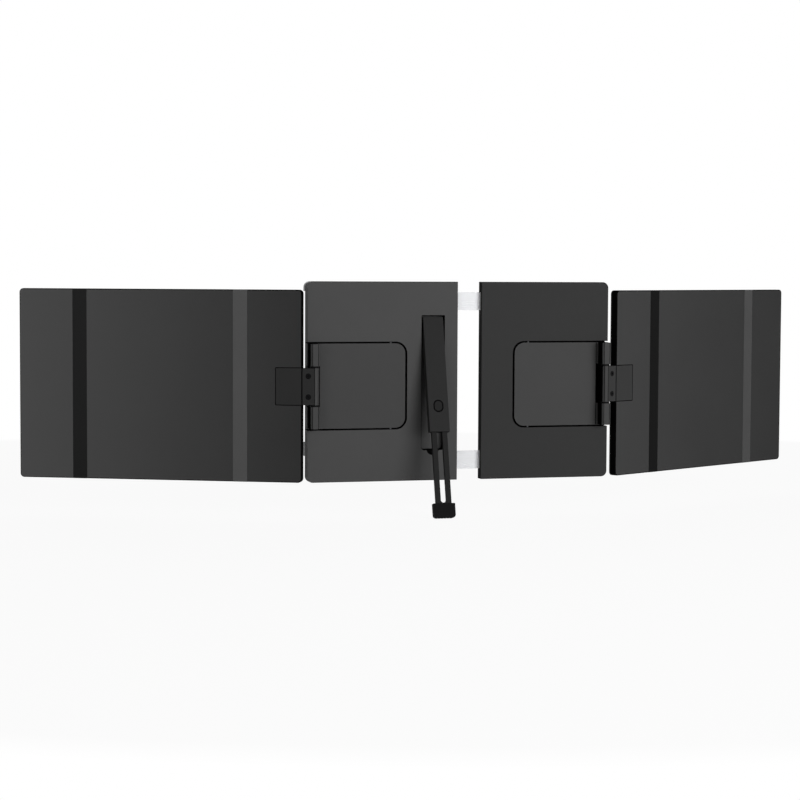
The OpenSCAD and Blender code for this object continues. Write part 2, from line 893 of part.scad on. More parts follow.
// The left screen
module left_knuckle_block() color(arm_grey) on_left_screen() knuckle_block();
module left_hinge_leaf() color(arm_grey) on_left_screen() hinge_leaf();
module left_leaf_screws() color(rubber_black) on_left_screen() leaf_screws();
module left_screen_cover() color(screen_grey) on_left_screen() screen_cover();
module left_inner_strip() color(light_strip) on_left_screen() strip_block(strip_inner, 0);
module left_outer_strip() color(dark_strip) on_left_screen() strip_block(strip_outer, 0);
module left_screen_bezel() color(rubber_black) on_left_screen() screen_bezel();
module left_display_panel() color(dark_strip) on_left_screen() display_panel();
module left_driver_board() color("darkgreen") on_left_screen() driver_board();
module left_usb_sockets() color(steel) on_left_screen() usb_sockets();
module left_power_button() color(rubber_black) on_left_screen() key(0);
module left_menu_button() color(rubber_black) on_left_screen() key(1);
module left_source_button() color(rubber_black) on_left_screen() key(2);

// The right screen
module right_knuckle_block() color(arm_grey) on_right_screen() knuckle_block();
module right_hinge_leaf() color(arm_grey) on_right_screen() hinge_leaf();
module right_leaf_screws() color(rubber_black) on_right_screen() leaf_screws();
module right_screen_cover() color(screen_grey) on_right_screen() screen_cover();
module right_inner_strip() color(dark_strip) on_right_screen() strip_block(strip_inner, 0);
module right_outer_strip() color(light_strip) on_right_screen() strip_block(strip_outer, 0);
module right_screen_bezel() color(rubber_black) on_right_screen() screen_bezel();
module right_display_panel() color(dark_strip) on_right_screen() display_panel();
module right_driver_board() color("darkgreen") on_right_screen() driver_board();
module right_usb_sockets() color(steel) on_right_screen() usb_sockets();
module right_power_button() color(rubber_black) on_right_screen() key(0);
module right_menu_button() color(rubber_black) on_right_screen() key(1);
module right_source_button() color(rubber_black) on_right_screen() key(2);

// The kickstand
module kick_channel() color(stand_grey) on_stand() stand_channel();
module kick_leg() color(stand_grey) on_stand() stand_leg();
module kick_foot() color(rubber_black) on_stand() stand_foot();
module kick_button() color(stand_grey) on_stand() release_button();
module kick_spring() color(steel) on_stand() button_spring();

left_back_cover();
left_front_plate();
left_corner_hook();
left_side_hook();
left_hook_liners();
left_face_pads();
left_cover_screws();
left_arm_pins();
upper_rail();
lower_rail();
rail_screws();
stand_hinge_pin();
right_back_cover();
right_front_plate();
right_corner_hook();
right_side_hook();
right_hook_liners();
right_face_pads();
right_cover_screws();
right_arm_pins();
rail_glides();
left_swing_arm();
left_hinge_shaft();
left_hinge_washers();
right_swing_arm();
right_hinge_shaft();
right_hinge_washers();
left_knuckle_block();
left_hinge_leaf();
left_leaf_screws();
left_screen_cover();
left_inner_strip();
left_outer_strip();
left_screen_bezel();
left_display_panel();
left_driver_board();
left_usb_sockets();
left_power_button();
left_menu_button();
left_source_button();
right_knuckle_block();
right_hinge_leaf();
right_leaf_screws();
right_screen_cover();
right_inner_strip();
right_outer_strip();
right_screen_bezel();
right_display_panel();
right_driver_board();
right_usb_sockets();
right_power_button();
right_menu_button();
right_source_button();
kick_channel();  // stand_channel
kick_leg();  // stand_leg
kick_foot();  // stand_foot
kick_button();  // release_button
kick_spring();  // button_spring
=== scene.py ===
import math

import bmesh
import bpy
from mathutils import Matrix, Vector


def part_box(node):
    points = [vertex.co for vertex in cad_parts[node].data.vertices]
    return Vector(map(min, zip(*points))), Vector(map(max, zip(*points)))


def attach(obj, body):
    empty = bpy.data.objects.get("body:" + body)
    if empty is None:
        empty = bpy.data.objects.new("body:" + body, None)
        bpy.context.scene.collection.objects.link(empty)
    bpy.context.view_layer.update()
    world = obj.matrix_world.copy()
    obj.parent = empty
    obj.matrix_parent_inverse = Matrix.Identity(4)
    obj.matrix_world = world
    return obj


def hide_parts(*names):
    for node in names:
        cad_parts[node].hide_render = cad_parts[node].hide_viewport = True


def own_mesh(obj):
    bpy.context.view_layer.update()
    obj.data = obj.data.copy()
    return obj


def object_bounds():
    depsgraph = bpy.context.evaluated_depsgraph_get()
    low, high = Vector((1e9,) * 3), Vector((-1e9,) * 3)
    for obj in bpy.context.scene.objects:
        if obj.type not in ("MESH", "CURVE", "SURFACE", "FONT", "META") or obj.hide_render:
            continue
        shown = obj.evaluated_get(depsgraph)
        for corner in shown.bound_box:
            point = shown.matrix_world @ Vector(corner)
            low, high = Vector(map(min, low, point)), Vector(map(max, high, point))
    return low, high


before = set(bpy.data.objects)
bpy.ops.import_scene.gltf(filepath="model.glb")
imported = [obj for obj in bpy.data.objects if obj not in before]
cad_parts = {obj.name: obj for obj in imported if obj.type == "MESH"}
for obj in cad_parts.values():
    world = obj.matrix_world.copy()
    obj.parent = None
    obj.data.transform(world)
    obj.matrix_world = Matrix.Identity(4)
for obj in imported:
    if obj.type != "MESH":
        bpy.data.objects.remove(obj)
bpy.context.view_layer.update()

# Lengths are in millimetres and angles in degrees, unless a note says otherwise
mm = 0.001
over = 1.0       # how far a cutter reaches past what it cuts
near = 1.0       # how close to an end counts as being there
margin = 0.3     # how far a wall's rounded edge lies from the wall
touch = 0.1      # how close counts as touching
parallel = 0.99  # cosine from which an edge counts as running along an axis
square = 0.9     # cosine from which a face counts as looking along an axis
alongX, alongY, alongZ = 0, 1, 2
sideNames = ("left", "right")


# Helpers for modelling

def choose(piece=None):
    bpy.ops.object.select_all(action="DESELECT")
    if piece:
        piece.select_set(True)
        bpy.context.view_layer.objects.active = piece


def applyPlace():
    bpy.ops.object.transform_apply(location=True, rotation=True, scale=True)
    return bpy.context.object


def block(low, high):  # a box between two corners
    low, high = Vector(low) * mm, Vector(high) * mm
    choose()
    bpy.ops.mesh.primitive_cube_add(size=1, location=(low + high) / 2, scale=high - low)
    return applyPlace()


def rod(radius, start, end, sides=40, tip=None):  # a round bar or a cone between two points
    start, end = Vector(start) * mm, Vector(end) * mm
    turn = (end - start).to_track_quat("Z", "Y").to_euler()
    place = dict(location=(start + end) / 2, rotation=turn, depth=(end - start).length,
                 vertices=sides)
    choose()
    if tip is None:
        bpy.ops.mesh.primitive_cylinder_add(radius=radius * mm, **place)
    else:
        bpy.ops.mesh.primitive_cone_add(radius1=radius * mm, radius2=tip * mm, **place)
    return applyPlace()


def pick(piece, kind, test):  # goes into edit mode with the edges or faces that pass the test
    choose(piece)
    bpy.ops.object.mode_set(mode="EDIT")
    bpy.ops.mesh.select_mode(type=kind)
    bpy.ops.mesh.select_all(action="DESELECT")
    mesh = bmesh.from_edit_mesh(piece.data)
    mesh.normal_update()
    for part in mesh.edges if kind == "EDGE" else mesh.faces:
        centre = sum((v.co for v in part.verts), Vector()) / len(part.verts) / mm
        if test(centre, part):
            part.select_set(True)
    bmesh.update_edit_mesh(piece.data)


def leaveEdit():
    bpy.ops.object.mode_set(mode="OBJECT")


def modify(piece, kind, **settings):  # adds a modifier and applies it
    choose(piece)
    modifier = piece.modifiers.new(kind.lower(), kind)
    for key, value in settings.items():
        setattr(modifier, key, value)
    bpy.ops.object.modifier_apply(modifier=modifier.name)


def anywhere(centre):
    return True


def looksBack(centre, face):
    return face.normal.y < -square


def looksFront(centre, face):
    return face.normal.y > square


def leans(face, limit=0.97):  # looks neither straight back nor straight to the front
    return abs(face.normal.y) < limit


def roundCorners(piece, axis, radius, where=anywhere, segments=8):
    def runsAlong(centre, edge):
        span = edge.verts[1].co - edge.verts[0].co
        return abs(span.normalized()[axis]) > parallel and where(centre)

    pick(piece, "EDGE", runsAlong)
    bpy.ops.mesh.bevel(offset=radius * mm, segments=segments, affect="EDGES")
    leaveEdit()
    return piece


def insetFaces(piece, test, *steps):  # each step is a width and a depth
    pick(piece, "FACE", test)
    for width, depth in steps:
        bpy.ops.mesh.inset(thickness=width * mm, depth=depth * mm)
    leaveEdit()
    return piece


def combine(piece, operation, parts):
    for part in parts:
        modify(piece, "BOOLEAN", operation=operation, solver="EXACT", object=part)
        bpy.data.objects.remove(part)
    return piece


def carve(piece, *parts):
    return combine(piece, "DIFFERENCE", parts)


def fuse(piece, *parts):
    return combine(piece, "UNION", parts)


def trim(piece, part):
    return combine(piece, "INTERSECT", [part])


def twin(piece):  # a copy with its own mesh
    choose(piece)
    bpy.ops.object.duplicate(linked=False)
    return bpy.context.object


def join(piece, *parts):
    choose(piece)
    for part in parts:
        part.select_set(True)
    bpy.ops.object.join()
    return piece


def spread(piece, places):  # a copy at each place, all joined
    copies = []
    for place in places:
        copy = twin(piece)
        copy.location = Vector(place) * mm
        copies.append(applyPlace())
    bpy.data.objects.remove(piece)
    return join(*copies)


def paint(piece, finish, test=None):  # the finish covers the piece, or the faces that pass the test
    piece.data.materials.append(finish)
    if test:
        pick(piece, "FACE", test)
        piece.active_material_index = len(piece.data.materials) - 1
        bpy.ops.object.material_slot_assign()
        leaveEdit()


cleaning = {"merge": 0.002, "flat": 0.3, "sharp": 35}


def settle(piece, name, spot, body, nodes, finish=None, edge=0.35, segments=2, dark=None,
           shade="inside"):
    # cleans the mesh, rounds its sharp edges, lays the shade finish as painted shade on the faces that
    # pass dark, puts it where it belongs and hands it to its body
    piece.name = piece.data.name = name
    if finish:
        paint(piece, finishes[finish])
    choose(piece)
    bpy.ops.object.mode_set(mode="EDIT")
    bpy.ops.mesh.select_all(action="SELECT")
    bpy.ops.mesh.remove_doubles(threshold=cleaning["merge"] * mm)
    bpy.ops.mesh.dissolve_limited(angle_limit=math.radians(cleaning["flat"]), delimit={"MATERIAL"})
    leaveEdit()
    modify(piece, "BEVEL", width=edge * mm, segments=segments, miter_outer="MITER_ARC",
           limit_method="ANGLE", angle_limit=math.radians(cleaning["sharp"]),
           use_clamp_overlap=False)
    if dark:
        paint(piece, finishes[shade], dark)
    choose(piece)
    piece.matrix_world = spot
    applyPlace()
    bpy.ops.object.mode_set(mode="EDIT")
    bpy.ops.mesh.select_all(action="SELECT")
    bpy.ops.mesh.normals_make_consistent(inside=False)
    leaveEdit()
    bpy.ops.object.shade_smooth()
    modify(piece, "WEIGHTED_NORMAL", keep_sharp=True)
    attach(piece, body)
    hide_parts(*nodes)


# Where the carriers and screens are

carrier = {
    "backY": -11.0, "shellY": -2.2, "plateY": -0.8, "halfHeight": 100.0, "corner": 6.0, "wall": 1.6,
    "width": {"left": 155.5, "right": 136.1}, "hingeZ": -3.7,
}
screen = {
    "width": 291.0, "halfHeight": 95.4, "thickness": 8.4, "corner": 4.0, "wall": 1.6, "rim": 0.9,
    "bezel": 1.6, "lip": 1.0, "picture": (286.5, 179.1), "pictureCorner": 1.2,
    "seatRim": 2.0, "seatFloor": 1.2, "turn": {"left": 25.0, "right": 29.7},
    "hingeIn": 5.7, "hingeOut": 8.6, "edgeGap": 12.0, "knuckle": 4.6,
}
edges = {"left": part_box("left_back_cover")[0].x, "right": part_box("right_back_cover")[1].x}  # metres
edgeToStand = -edges["left"] / mm  # the stand hangs in line with the origin
mirrored = Matrix.Scale(-1, 4, (1, 0, 0))


def shift(x, y, z):
    return Matrix.Translation(Vector((x, y, z)) * mm)


def carrierSpot(side):  # drawn from the outer edge inwards
    spot = Matrix.Translation((edges[side], 0, 0))
    return spot if side == "left" else spot @ mirrored


def screenSpot(side):  # drawn outwards from the inner edge and forwards from the back
    axis = shift(screen["hingeIn"], carrier["backY"] - screen["hingeOut"], carrier["hingeZ"])
    turn = Matrix.Rotation(math.radians(screen["turn"][side]), 4, "Z")
    inner = shift(screen["edgeGap"], -screen["knuckle"], 0)
    return carrierSpot(side) @ axis @ mirrored @ turn @ inner


# Finishes

class Wire:  # a node's socket that plain arithmetic works on
    def __init__(self, finish, socket):
        self.finish = finish
        self.socket = socket

    def work(self, operation, first, second):
        return self.finish.add("ShaderNodeMath", {"operation": operation}, {0: first, 1: second})

    def __add__(self, other):
        return self.work("ADD", self, other)

    def __radd__(self, other):
        return self.work("ADD", other, self)

    def __sub__(self, other):
        return self.work("SUBTRACT", self, other)

    def __rsub__(self, other):
        return self.work("SUBTRACT", other, self)

    def __mul__(self, other):
        return self.work("MULTIPLY", self, other)

    def __rmul__(self, other):
        return self.work("MULTIPLY", other, self)

    def __gt__(self, other):
        return self.work("GREATER_THAN", self, other)

    def __lt__(self, other):
        return self.work("LESS_THAN", self, other)


class Finish:
    def __init__(self, name, target=None):
        self.material = target or bpy.data.materials.new(name)
        self.material.use_nodes = True
        self.tree = self.material.node_tree
        self.tree.nodes.clear()

    def add(self, kind, settings=None, inputs=None, output=0):
        node = self.tree.nodes.new(kind)
        for key, value in (settings or {}).items():
            if key == "stops":
                ramp = node.color_ramp.elements
                while len(ramp) < len(value):
                    ramp.new(1)
                for stop, (place, colour) in zip(ramp, value):
                    stop.position = place
                    stop.color = colour
            else:
                setattr(node, key, value)
        for key, value in (inputs or {}).items():
            if isinstance(value, Wire):
                self.tree.links.new(value.socket, node.inputs[key])
            else:
                node.inputs[key].default_value = value
        return Wire(self, node.outputs[output]) if node.outputs else None

    def place(self, stretch=(1, 1, 1)):
        spot = self.add("ShaderNodeTexCoord", output="Object")
        return self.add("ShaderNodeMapping", {}, {"Vector": spot, "Scale": stretch})

    def noise(self, spot, scale, detail=2.0, roughness=0.5):
        sockets = {"Vector": spot, "Scale": scale, "Detail": detail, "Roughness": roughness}
        return self.add("ShaderNodeTexNoise", {}, sockets)

    def blend(self, factor, first, second):
        settings = {"data_type": "RGBA"}
        return self.add("ShaderNodeMix", settings, {0: factor, 6: first, 7: second}, 2)

    def shades(self, factor, colour, gains):  # between a darker and a lighter shade of a colour
        return self.blend(factor, *[tone(*colour, gain=gain) for gain in gains])

    def surface(self, **sockets):
        names = {"colour": "Base Color", "roughness": "Roughness", "metallic": "Metallic",
                 "specular": "Specular IOR Level", "coat": "Coat Weight",
                 "coatRoughness": "Coat Roughness", "normal": "Normal"}
        inputs = {names[key]: value for key, value in sockets.items()}
        return self.toOutput(self.add("ShaderNodeBsdfPrincipled", {}, inputs))

    def textured(self, colour, look, grain, *swings, **more):  # the grain's depth is in metres
        roughness = look["roughness"]
        for pattern, swing in swings:  # patterns from 0 to 1 push it up and down
            roughness = roughness + (pattern - 0.5) * swing
        relief = {"Height": grain, "Strength": look["relief"], "Distance": look["depth"]}
        return self.surface(colour=colour, roughness=roughness, specular=look["specular"],
                            normal=self.add("ShaderNodeBump", {}, relief), **more)

    def toOutput(self, shader, kind="ShaderNodeOutputMaterial"):
        self.add(kind, {}, {"Surface": shader})
        return self.material


def tone(red, green=None, blue=None, gain=1.0):  # a screen shade from 0 to 255 as linear light
    shades = [red, red if green is None else green, red if blue is None else blue]
    linear = [s / 255 / 12.92 if s <= 10 else ((s / 255 + 0.055) / 1.055) ** 2.4 for s in shades]
    return (*[min(1, value * gain) for value in linear], 1)


moulded = {"cloud": 24, "gains": (0.94, 1.06), "grainSwing": 0.12, "cloudSwing": 0.08,
           "depth": 0.0001}
brushed = {"cloud": 40, "gains": (0.9, 1.0), "streakSwing": 0.22, "cloudSwing": 0.08,
           "depth": 0.00005}
lacquer = {"fleck": 2400, "cloud": 14, "fleckShare": 0.08, "cloudShare": 0.05, "fleckShade": 110,
           "fleckSwing": 0.1, "cloudSwing": 0.06, "relief": 0.05, "depth": 0.0001,
           "roughness": 0.5, "specular": 0.05}
rubbery = {"grain": 1800, "dust": 120, "gains": (0.85, 1.15), "dustSwing": 0.15, "relief": 0.25,
           "depth": 0.0002, "specular": 0.08}
glassy = {"stretch": (3, 3, 12), "smear": 6, "haze": 60, "gains": (0.9, 1.1), "smearFrom": 0.55,
          "smearRough": 0.015, "hazeRough": 0.04, "coat": 0.4, "coatRoughness": 0.05}
printed = {"scale": 220, "gap": 0.035, "width": 0.7, "greens": ((18, 58, 40), (14, 50, 34)),
           "trace": (150, 130, 70), "roughness": 0.35, "traceRough": 0.2, "traceMetal": 0.6}


def mouldedPlastic(name, look):
    f, look = Finish(name), {**moulded, **look}
    spot = f.place()
    grain = f.noise(spot, look["grain"], detail=3, roughness=0.6)
    cloud = f.noise(spot, look["cloud"], detail=3, roughness=0.55)
    colour = f.shades(cloud, look["colour"], look["gains"])
    swings = (grain, look["grainSwing"]), (cloud, look["cloudSwing"])
    return f.textured(colour, look, grain, *swings)


def brushedMetal(name, look):
    f, look = Finish(name), {**brushed, **look}
    streaks = f.noise(f.place(look["stretch"]), scale=1, detail=4, roughness=0.6)
    cloud = f.noise(f.place(), look["cloud"])
    colour = f.shades(streaks, look["colour"], look["gains"])
    swings = (streaks, look["streakSwing"]), (cloud, look["cloudSwing"])
    return f.textured(colour, look, streaks, *swings, metallic=look["metallic"])


def lacqueredBackWithPaintedLight(name, side):
    f = Finish(name)
    spot = f.place()
    ends = [screenSpot(side) @ Vector((s * mm, 0, 0)) for s in (0, screen["width"])]
    ends.sort(key=lambda end: end.x)
    run = ends[1] - ends[0]
    along = (*(run / run.length_squared),)
    settings = {"operation": "DOT_PRODUCT"}
    travel = f.add("ShaderNodeVectorMath", settings, {0: spot, 1: along}, "Value")
    travel = travel - ends[0].dot(run) / run.length_squared
    # painted light: the back's colour fades from one end to the other, each side with its own fade
    stops = [(place, tone(shade)) for place, shade in paintedLightAlongBack[side]]
    ramp = f.add("ShaderNodeValToRGB", {"stops": stops}, {0: travel})
    fleck = f.noise(spot, lacquer["fleck"])
    cloud = f.noise(spot, lacquer["cloud"])
    share = lacquer["fleckShare"] * fleck + lacquer["cloudShare"] * cloud
    colour = f.blend(share, ramp, tone(lacquer["fleckShade"]))
    swings = (fleck, lacquer["fleckSwing"]), (cloud, lacquer["cloudSwing"])
    return f.textured(colour, lacquer, fleck, *swings)


def softRubber(name, look):
    f, look = Finish(name), {**rubbery, **look}
    spot = f.place()
    sockets = {"Vector": spot, "Scale": look["grain"]}
    grain = f.add("ShaderNodeTexVoronoi", {"feature": "F1"}, sockets)
    dust = f.noise(spot, look["dust"], detail=4, roughness=0.6)
    colour = f.shades(dust, look["colour"], look["gains"])
    return f.textured(colour, look, grain, (dust, look["dustSwing"]))


def darkGlass(name, look):
    f, look = Finish(name), {**glassy, **look}
    spot = f.place()
    smear = f.noise(f.place(look["stretch"]), look["smear"], detail=5, roughness=0.6)
    haze = f.noise(spot, look["haze"], detail=3)
    colour = f.shades(haze, look["colour"], look["gains"])
    smeared = (smear > look["smearFrom"]) * look["smearRough"]
    roughness = look["roughness"] + smeared + haze * look["hazeRough"]
    return f.surface(colour=colour, roughness=roughness, coat=look["coat"],
                     coatRoughness=look["coatRoughness"])


def circuitBoard(name):
    f = Finish(name)
    greens = [tone(*green) for green in printed["greens"]]
    sockets = {"Vector": f.place(), "Scale": printed["scale"], "Mortar Size": printed["gap"],
               "Brick Width": printed["width"], "Color1": greens[0], "Color2": greens[1],
               "Mortar": tone(*printed["trace"])}
    board, traces = [f.add("ShaderNodeTexBrick", {"offset": 0.5, "squash": 1.0}, sockets, output)
                     for output in ("Color", "Fac")]
    return f.surface(colour=board, roughness=printed["roughness"] + traces * printed["traceRough"],
                     metallic=traces * printed["traceMetal"])


plasticKeys = ("colour", "grain", "roughness", "relief", "specular")
plasticLooks = {
    # painted light: the covers are one plastic, the left copy set lighter and the right copy darker for
    # how light falls on each carrier
    "leftCover": ((73,), 900, 0.6, 0.12, 0.06),
    "rightCover": ((50,), 900, 0.6, 0.12, 0.06),
    # painted light: the arms and hinge barrels are one plastic, with a copy for each side set to how
    # light falls there
    "leftArm": ((66,), 1100, 0.55, 0.1, 0.06),
    "rightArm": ((65,), 1100, 0.55, 0.1, 0.06),
    # painted light: each screen has a dark and a pale strip, and each side's pair is its own copy, set
    # lighter or darker for how light falls on that screen
    "leftGloss": ((33,), 2000, 0.35, 0.02, 0.03),
    "leftSatin": ((84,), 2000, 0.4, 0.03, 0.06),
    "rightGloss": ((14,), 2000, 0.35, 0.02, 0.03),
    "rightSatin": ((69,), 2000, 0.4, 0.03, 0.06),
    # painted light: the leaves are one plastic, the left copy set darker and the right copy lighter for
    # how light falls on each side
    "leftLeaf": ((44,), 1300, 0.5, 0.08, 0.06),
    "rightLeaf": ((50,), 1300, 0.5, 0.08, 0.06),
    "stand": ((41,), 1200, 0.5, 0.1, 0.04),
    "leg": ((32,), 1200, 0.5, 0.1, 0.04),
    "bezel": ((20,), 1400, 0.55, 0.1, 0.15),
    # painted shade: a dull dark finish for the carriers' inner ends
    "innerEnd": ((54,), 1400, 0.8, 0.1, 0.0),
    # a dark finish: the screens' black side frame, and painted shade on their rounded rims and in the
    # gap round the leaf
    "edge": ((9,), 1400, 0.7, 0.1, 0.0),
    # a dark finish laid on as painted shade in grooves, recesses, gaps and holes and on rounded rims
    "inside": ((10,), 1400, 0.8, 0.1, 0.0),
    "key": ((22,), 1800, 0.45, 0.05, 0.2),
    "glide": ((196, 196, 190), 900, 0.5, 0.05, 0.3),
    "hook": ((96, 97, 99), 1200, 0.45, 0.05, 0.3),
}
metalKeys = ("colour", "stretch", "roughness", "relief", "metallic", "specular")
metalLooks = {
    "railMetal": ((240, 241, 243), (6, 2600, 2600), 0.6, 0.15, 0.06, 0.1),
    "steel": ((176, 177, 180), (700, 700, 60), 0.3, 0.1, 1.0, 0.5),
    "greySteel": ((82, 82, 84), (900, 900, 900), 0.6, 0.15, 0.1, 0.1),
    "blackSteel": ((10, 10, 11), (900, 900, 900), 0.5, 0.15, 0.0, 0.05),
}
plainKeys = ("colour", "roughness")
rubberLooks = {"rubber": ((16,), 0.8), "liner": ((58, 58, 60), 0.75)}
glassLooks = {"picture": ((13, 14, 17), 0.1), "glassEdge": ((6, 6, 7), 0.08)}
paintedLightAlongBack = {  # painted light: shades along the screen's back, from its left end to its right one, standing in for how light falls across it
    "left": [(0.0, 82), (0.45, 67), (0.67, 58), (1.0, 43)],
    "right": [(0.0, 54), (0.45, 46), (1.0, 36)],
}
finishes = {"board": circuitBoard("board")}
for looks, keyNames, makeFinish in (
        (plasticLooks, plasticKeys, mouldedPlastic), (metalLooks, metalKeys, brushedMetal),
        (rubberLooks, plainKeys, softRubber), (glassLooks, plainKeys, darkGlass)):
    for name, row in looks.items():
        finishes[name] = makeFinish(name, dict(zip(keyNames, row)))
for side in sideNames:
    finishes[side + "Back"] = lacqueredBackWithPaintedLight(side + "Back", side)
print("finishes made:", len(finishes))


# The two carriers

pocket = {"z": -4.0, "half": 43.65, "reach": 102.4, "corner": 11.5, "groove": 1.2, "endGroove": 1.6,
          "lipY": -7.1, "lipBite": 0.4}
recess = {"half": 11.8, "top": 66.0, "bottom": -69.0, "corner": 3.0, "floorY": -2.9, "wall": 1.4,
          "floor": 0.7, "notch": 6.0, "notchUp": 1.0, "notchY": -7.6}
railPlace = {"z": 80.4, "half": 9.0, "backY": -5.6, "frontY": -2.6, "play": 0.4, "backPlay": 0.3}
plateScrews = {"left": (8, 60, 148.5), "right": (8, 60, 128.1), "z": (-56, 56), "head": 2.1,
               "shank": 1.1, "past": 0.42, "play": 0.1, "length": 5, "cross": 1.2,
               "crossHalf": 0.3, "crossDepth": 0.9}


def carrierSlab(width, inset, backY, frontY):
    half = carrier["halfHeight"] - inset
    slab = block((inset, backY, -half), (width - inset, frontY, half))
    return roundCorners(slab, alongY, carrier["corner"] - inset, lambda c: c.x < inset + near, 10)


def pocketSlab(grow, start, end, backY, frontY):
    half, reach = pocket["half"] + grow, pocket["reach"] + end
    slab = block((start, backY, pocket["z"] - half), (reach, frontY, pocket["z"] + half))
    return roundCorners(slab, alongY, pocket["corner"] + grow, lambda c: c.x > reach - near, 12)


def recessSlab(grow, backY, frontY):
    half = recess["half"] + grow
    slab = block((edgeToStand - half, backY, recess["bottom"] - grow),
                 (edgeToStand + half, frontY, recess["top"] + grow))
    return roundCorners(slab, alongY, recess["corner"] + grow, lambda c: c.z < 0)


def notchRod(grow, backY, frontY):
    z = recess["bottom"] + recess["notchUp"]
    return rod(recess["notch"] + grow, (edgeToStand, backY, z), (edgeToStand, frontY, z), 48)


def onPocketWall(centre, face):  # painted shade on the pocket's walls and on the rounded edges at the cover's top and bottom
    inPocket = (carrier["wall"] + touch < centre.x < pocket["reach"] + margin
                and abs(centre.z - pocket["z"]) < pocket["half"] + margin)
    onRim = (abs(centre.z) > carrier["halfHeight"] - near / 2 and centre.y < carrier["backY"] + near
             and not leans(face, limit=0.05))
    return leans(face) and (inPocket or onRim)


def onInnerWall(centre, face):  # painted shade on the walls of the pocket and of the stand's recess, with the notch's floor
    low = recess["bottom"] - recess["notch"] - margin
    inRecess = (abs(centre.x - edgeToStand) < recess["half"] + margin
                and low < centre.z < recess["top"] + margin)
    inNotch = (abs(centre.y - recess["notchY"]) < touch
               and centre.z < recess["bottom"] + recess["notch"] - near)
    return onPocketWall(centre, face) or (inRecess and (leans(face, limit=0.95) or inNotch))


def makeBackCover(side):
    width, wall = carrier["width"][side], carrier["wall"]
    backY, shellY, floor = carrier["backY"], carrier["shellY"], recess["floor"]
    piece = carrierSlab(width, 0, backY, shellY)
    carve(piece, carrierSlab(width, wall, backY + wall, shellY + over))
    fuse(piece, pocketSlab(wall, 0, wall, backY, shellY))
    if side == "left":
        fuse(piece, recessSlab(recess["wall"], backY, recess["floorY"] + floor),
             notchRod(floor, backY, recess["notchY"] + floor))
    carve(piece, pocketSlab(0, -over, 0, backY - over, shellY + over))
    if side == "left":
        carve(piece, recessSlab(0, backY - over, recess["floorY"]),
              notchRod(0, backY - over, recess["notchY"]))
    reach, railY = railPlace["half"] + railPlace["play"], railPlace["backY"] - railPlace["backPlay"]
    for z in (-railPlace["z"], railPlace["z"]):
        carve(piece, block((width - wall - over, railY, z - reach),
                           (width + over, shellY + over, z + reach)))
    paint(piece, finishes[side + "Cover"])
    # painted shade: the inner end gets the dull dark finish for the shade on it
    paint(piece, finishes["innerEnd"],
          lambda c, face: face.normal.x > square and c.x > width - near / 2)
    settle(piece, side + "_cover_shell", carrierSpot(side), side + "_carrier",
           [side + "_back_cover"], edge=0.45, dark=onInnerWall if side == "left" else onPocketWall)


def makePlateScrew():  # countersunk, with a cross recess
    top, seat = carrier["plateY"], carrier["shellY"]
    wide, narrow = plateScrews["head"], plateScrews["shank"]
    piece = rod(wide, (0, top, 0), (0, seat, 0), tip=narrow)
    fuse(piece, rod(narrow - plateScrews["play"], (0, seat + over / 2, 0),
                    (0, seat - plateScrews["length"], 0)))
    reach, half = plateScrews["cross"], plateScrews["crossHalf"]
    floor = top - plateScrews["crossDepth"]
    cross = block((-reach, floor, -half), (reach, top + over, half))
    fuse(cross, block((-half, floor, -reach), (half, top + over, reach)))
    return carve(piece, cross)


def makeFrontPlate(side):
    width, plateY, shellY = carrier["width"][side], carrier["plateY"], carrier["shellY"]
    piece = carrierSlab(width, 0, shellY, plateY)
    half = pocket["half"] - pocket["groove"]
    fuse(piece, block((0, pocket["lipY"], pocket["z"] - half),
                      (carrier["wall"], shellY + pocket["lipBite"], pocket["z"] + half)))
    wide, narrow, past = plateScrews["head"], plateScrews["shank"], plateScrews["past"]
    flare = (wide - narrow) * past / (plateY - shellY)
    places = [(x, 0, z) for x in plateScrews[side] for z in plateScrews["z"]]
    for x, _, z in places:
        carve(piece, rod(wide + flare, (x, plateY + past, z), (x, shellY - past, z),
                         tip=narrow - flare))
    paint(piece, finishes[side + "Cover"])
    # painted shade: the plate's back, seen through the pocket's groove, is dark
    paint(piece, finishes["inside"], lambda c, face: looksBack(c, face) and c.x > 2 * near)
    settle(piece, side + "_lid_plate", carrierSpot(side), side + "_carrier",
           [side + "_front_plate"], edge=0.3)
    settle(spread(makePlateScrew(), places), side + "_plate_screws", carrierSpot(side),
           side + "_carrier", [side + "_cover_screws"], "steel", edge=0.08, segments=1)


hook = {"wall": 1.5, "reach": 4.6, "lidDrop": 7.1, "lift": 2.0, "liner": 0.5, "span": 26.0,
        "innerY": 5.4, "outerY": 6.6, "flapCorner": 1.2,
        "sideZ": (-74.2, -60.2), "sideFoot": 12.0, "footCorner": 1.5}


def makeHooks():
    plateY, top = carrier["plateY"], carrier["halfHeight"]
    low, span = top - hook["lidDrop"] - hook["reach"] + hook["lift"], hook["span"]
    corner = block((0, plateY, low), (span, hook["outerY"], top))
    roundCorners(corner, alongY, carrier["corner"], lambda c: c.x < near and c.z > top - near, 10)
    carve(corner, block((hook["wall"], 0, low - over),
                        (span + over, hook["innerY"], top - hook["lidDrop"] + hook["liner"])))
    roundCorners(corner, alongY, hook["flapCorner"],
                 lambda c: c.x > span - near and c.z < low + near, 4)
    low, high = hook["sideZ"]
    edge = block((0, plateY, low), (hook["sideFoot"], hook["outerY"], high))
    roundCorners(edge, alongY, hook["footCorner"], lambda c: c.x > hook["reach"], 5)
    carve(edge, block((hook["wall"], 0, low - over),
                      (hook["sideFoot"] + over, hook["innerY"], high + over)),
          block((hook["reach"], hook["innerY"] - over, low - over),
                (hook["sideFoot"] + over, hook["outerY"] + over, high + over)))
    return {"corner": corner, "side": edge}


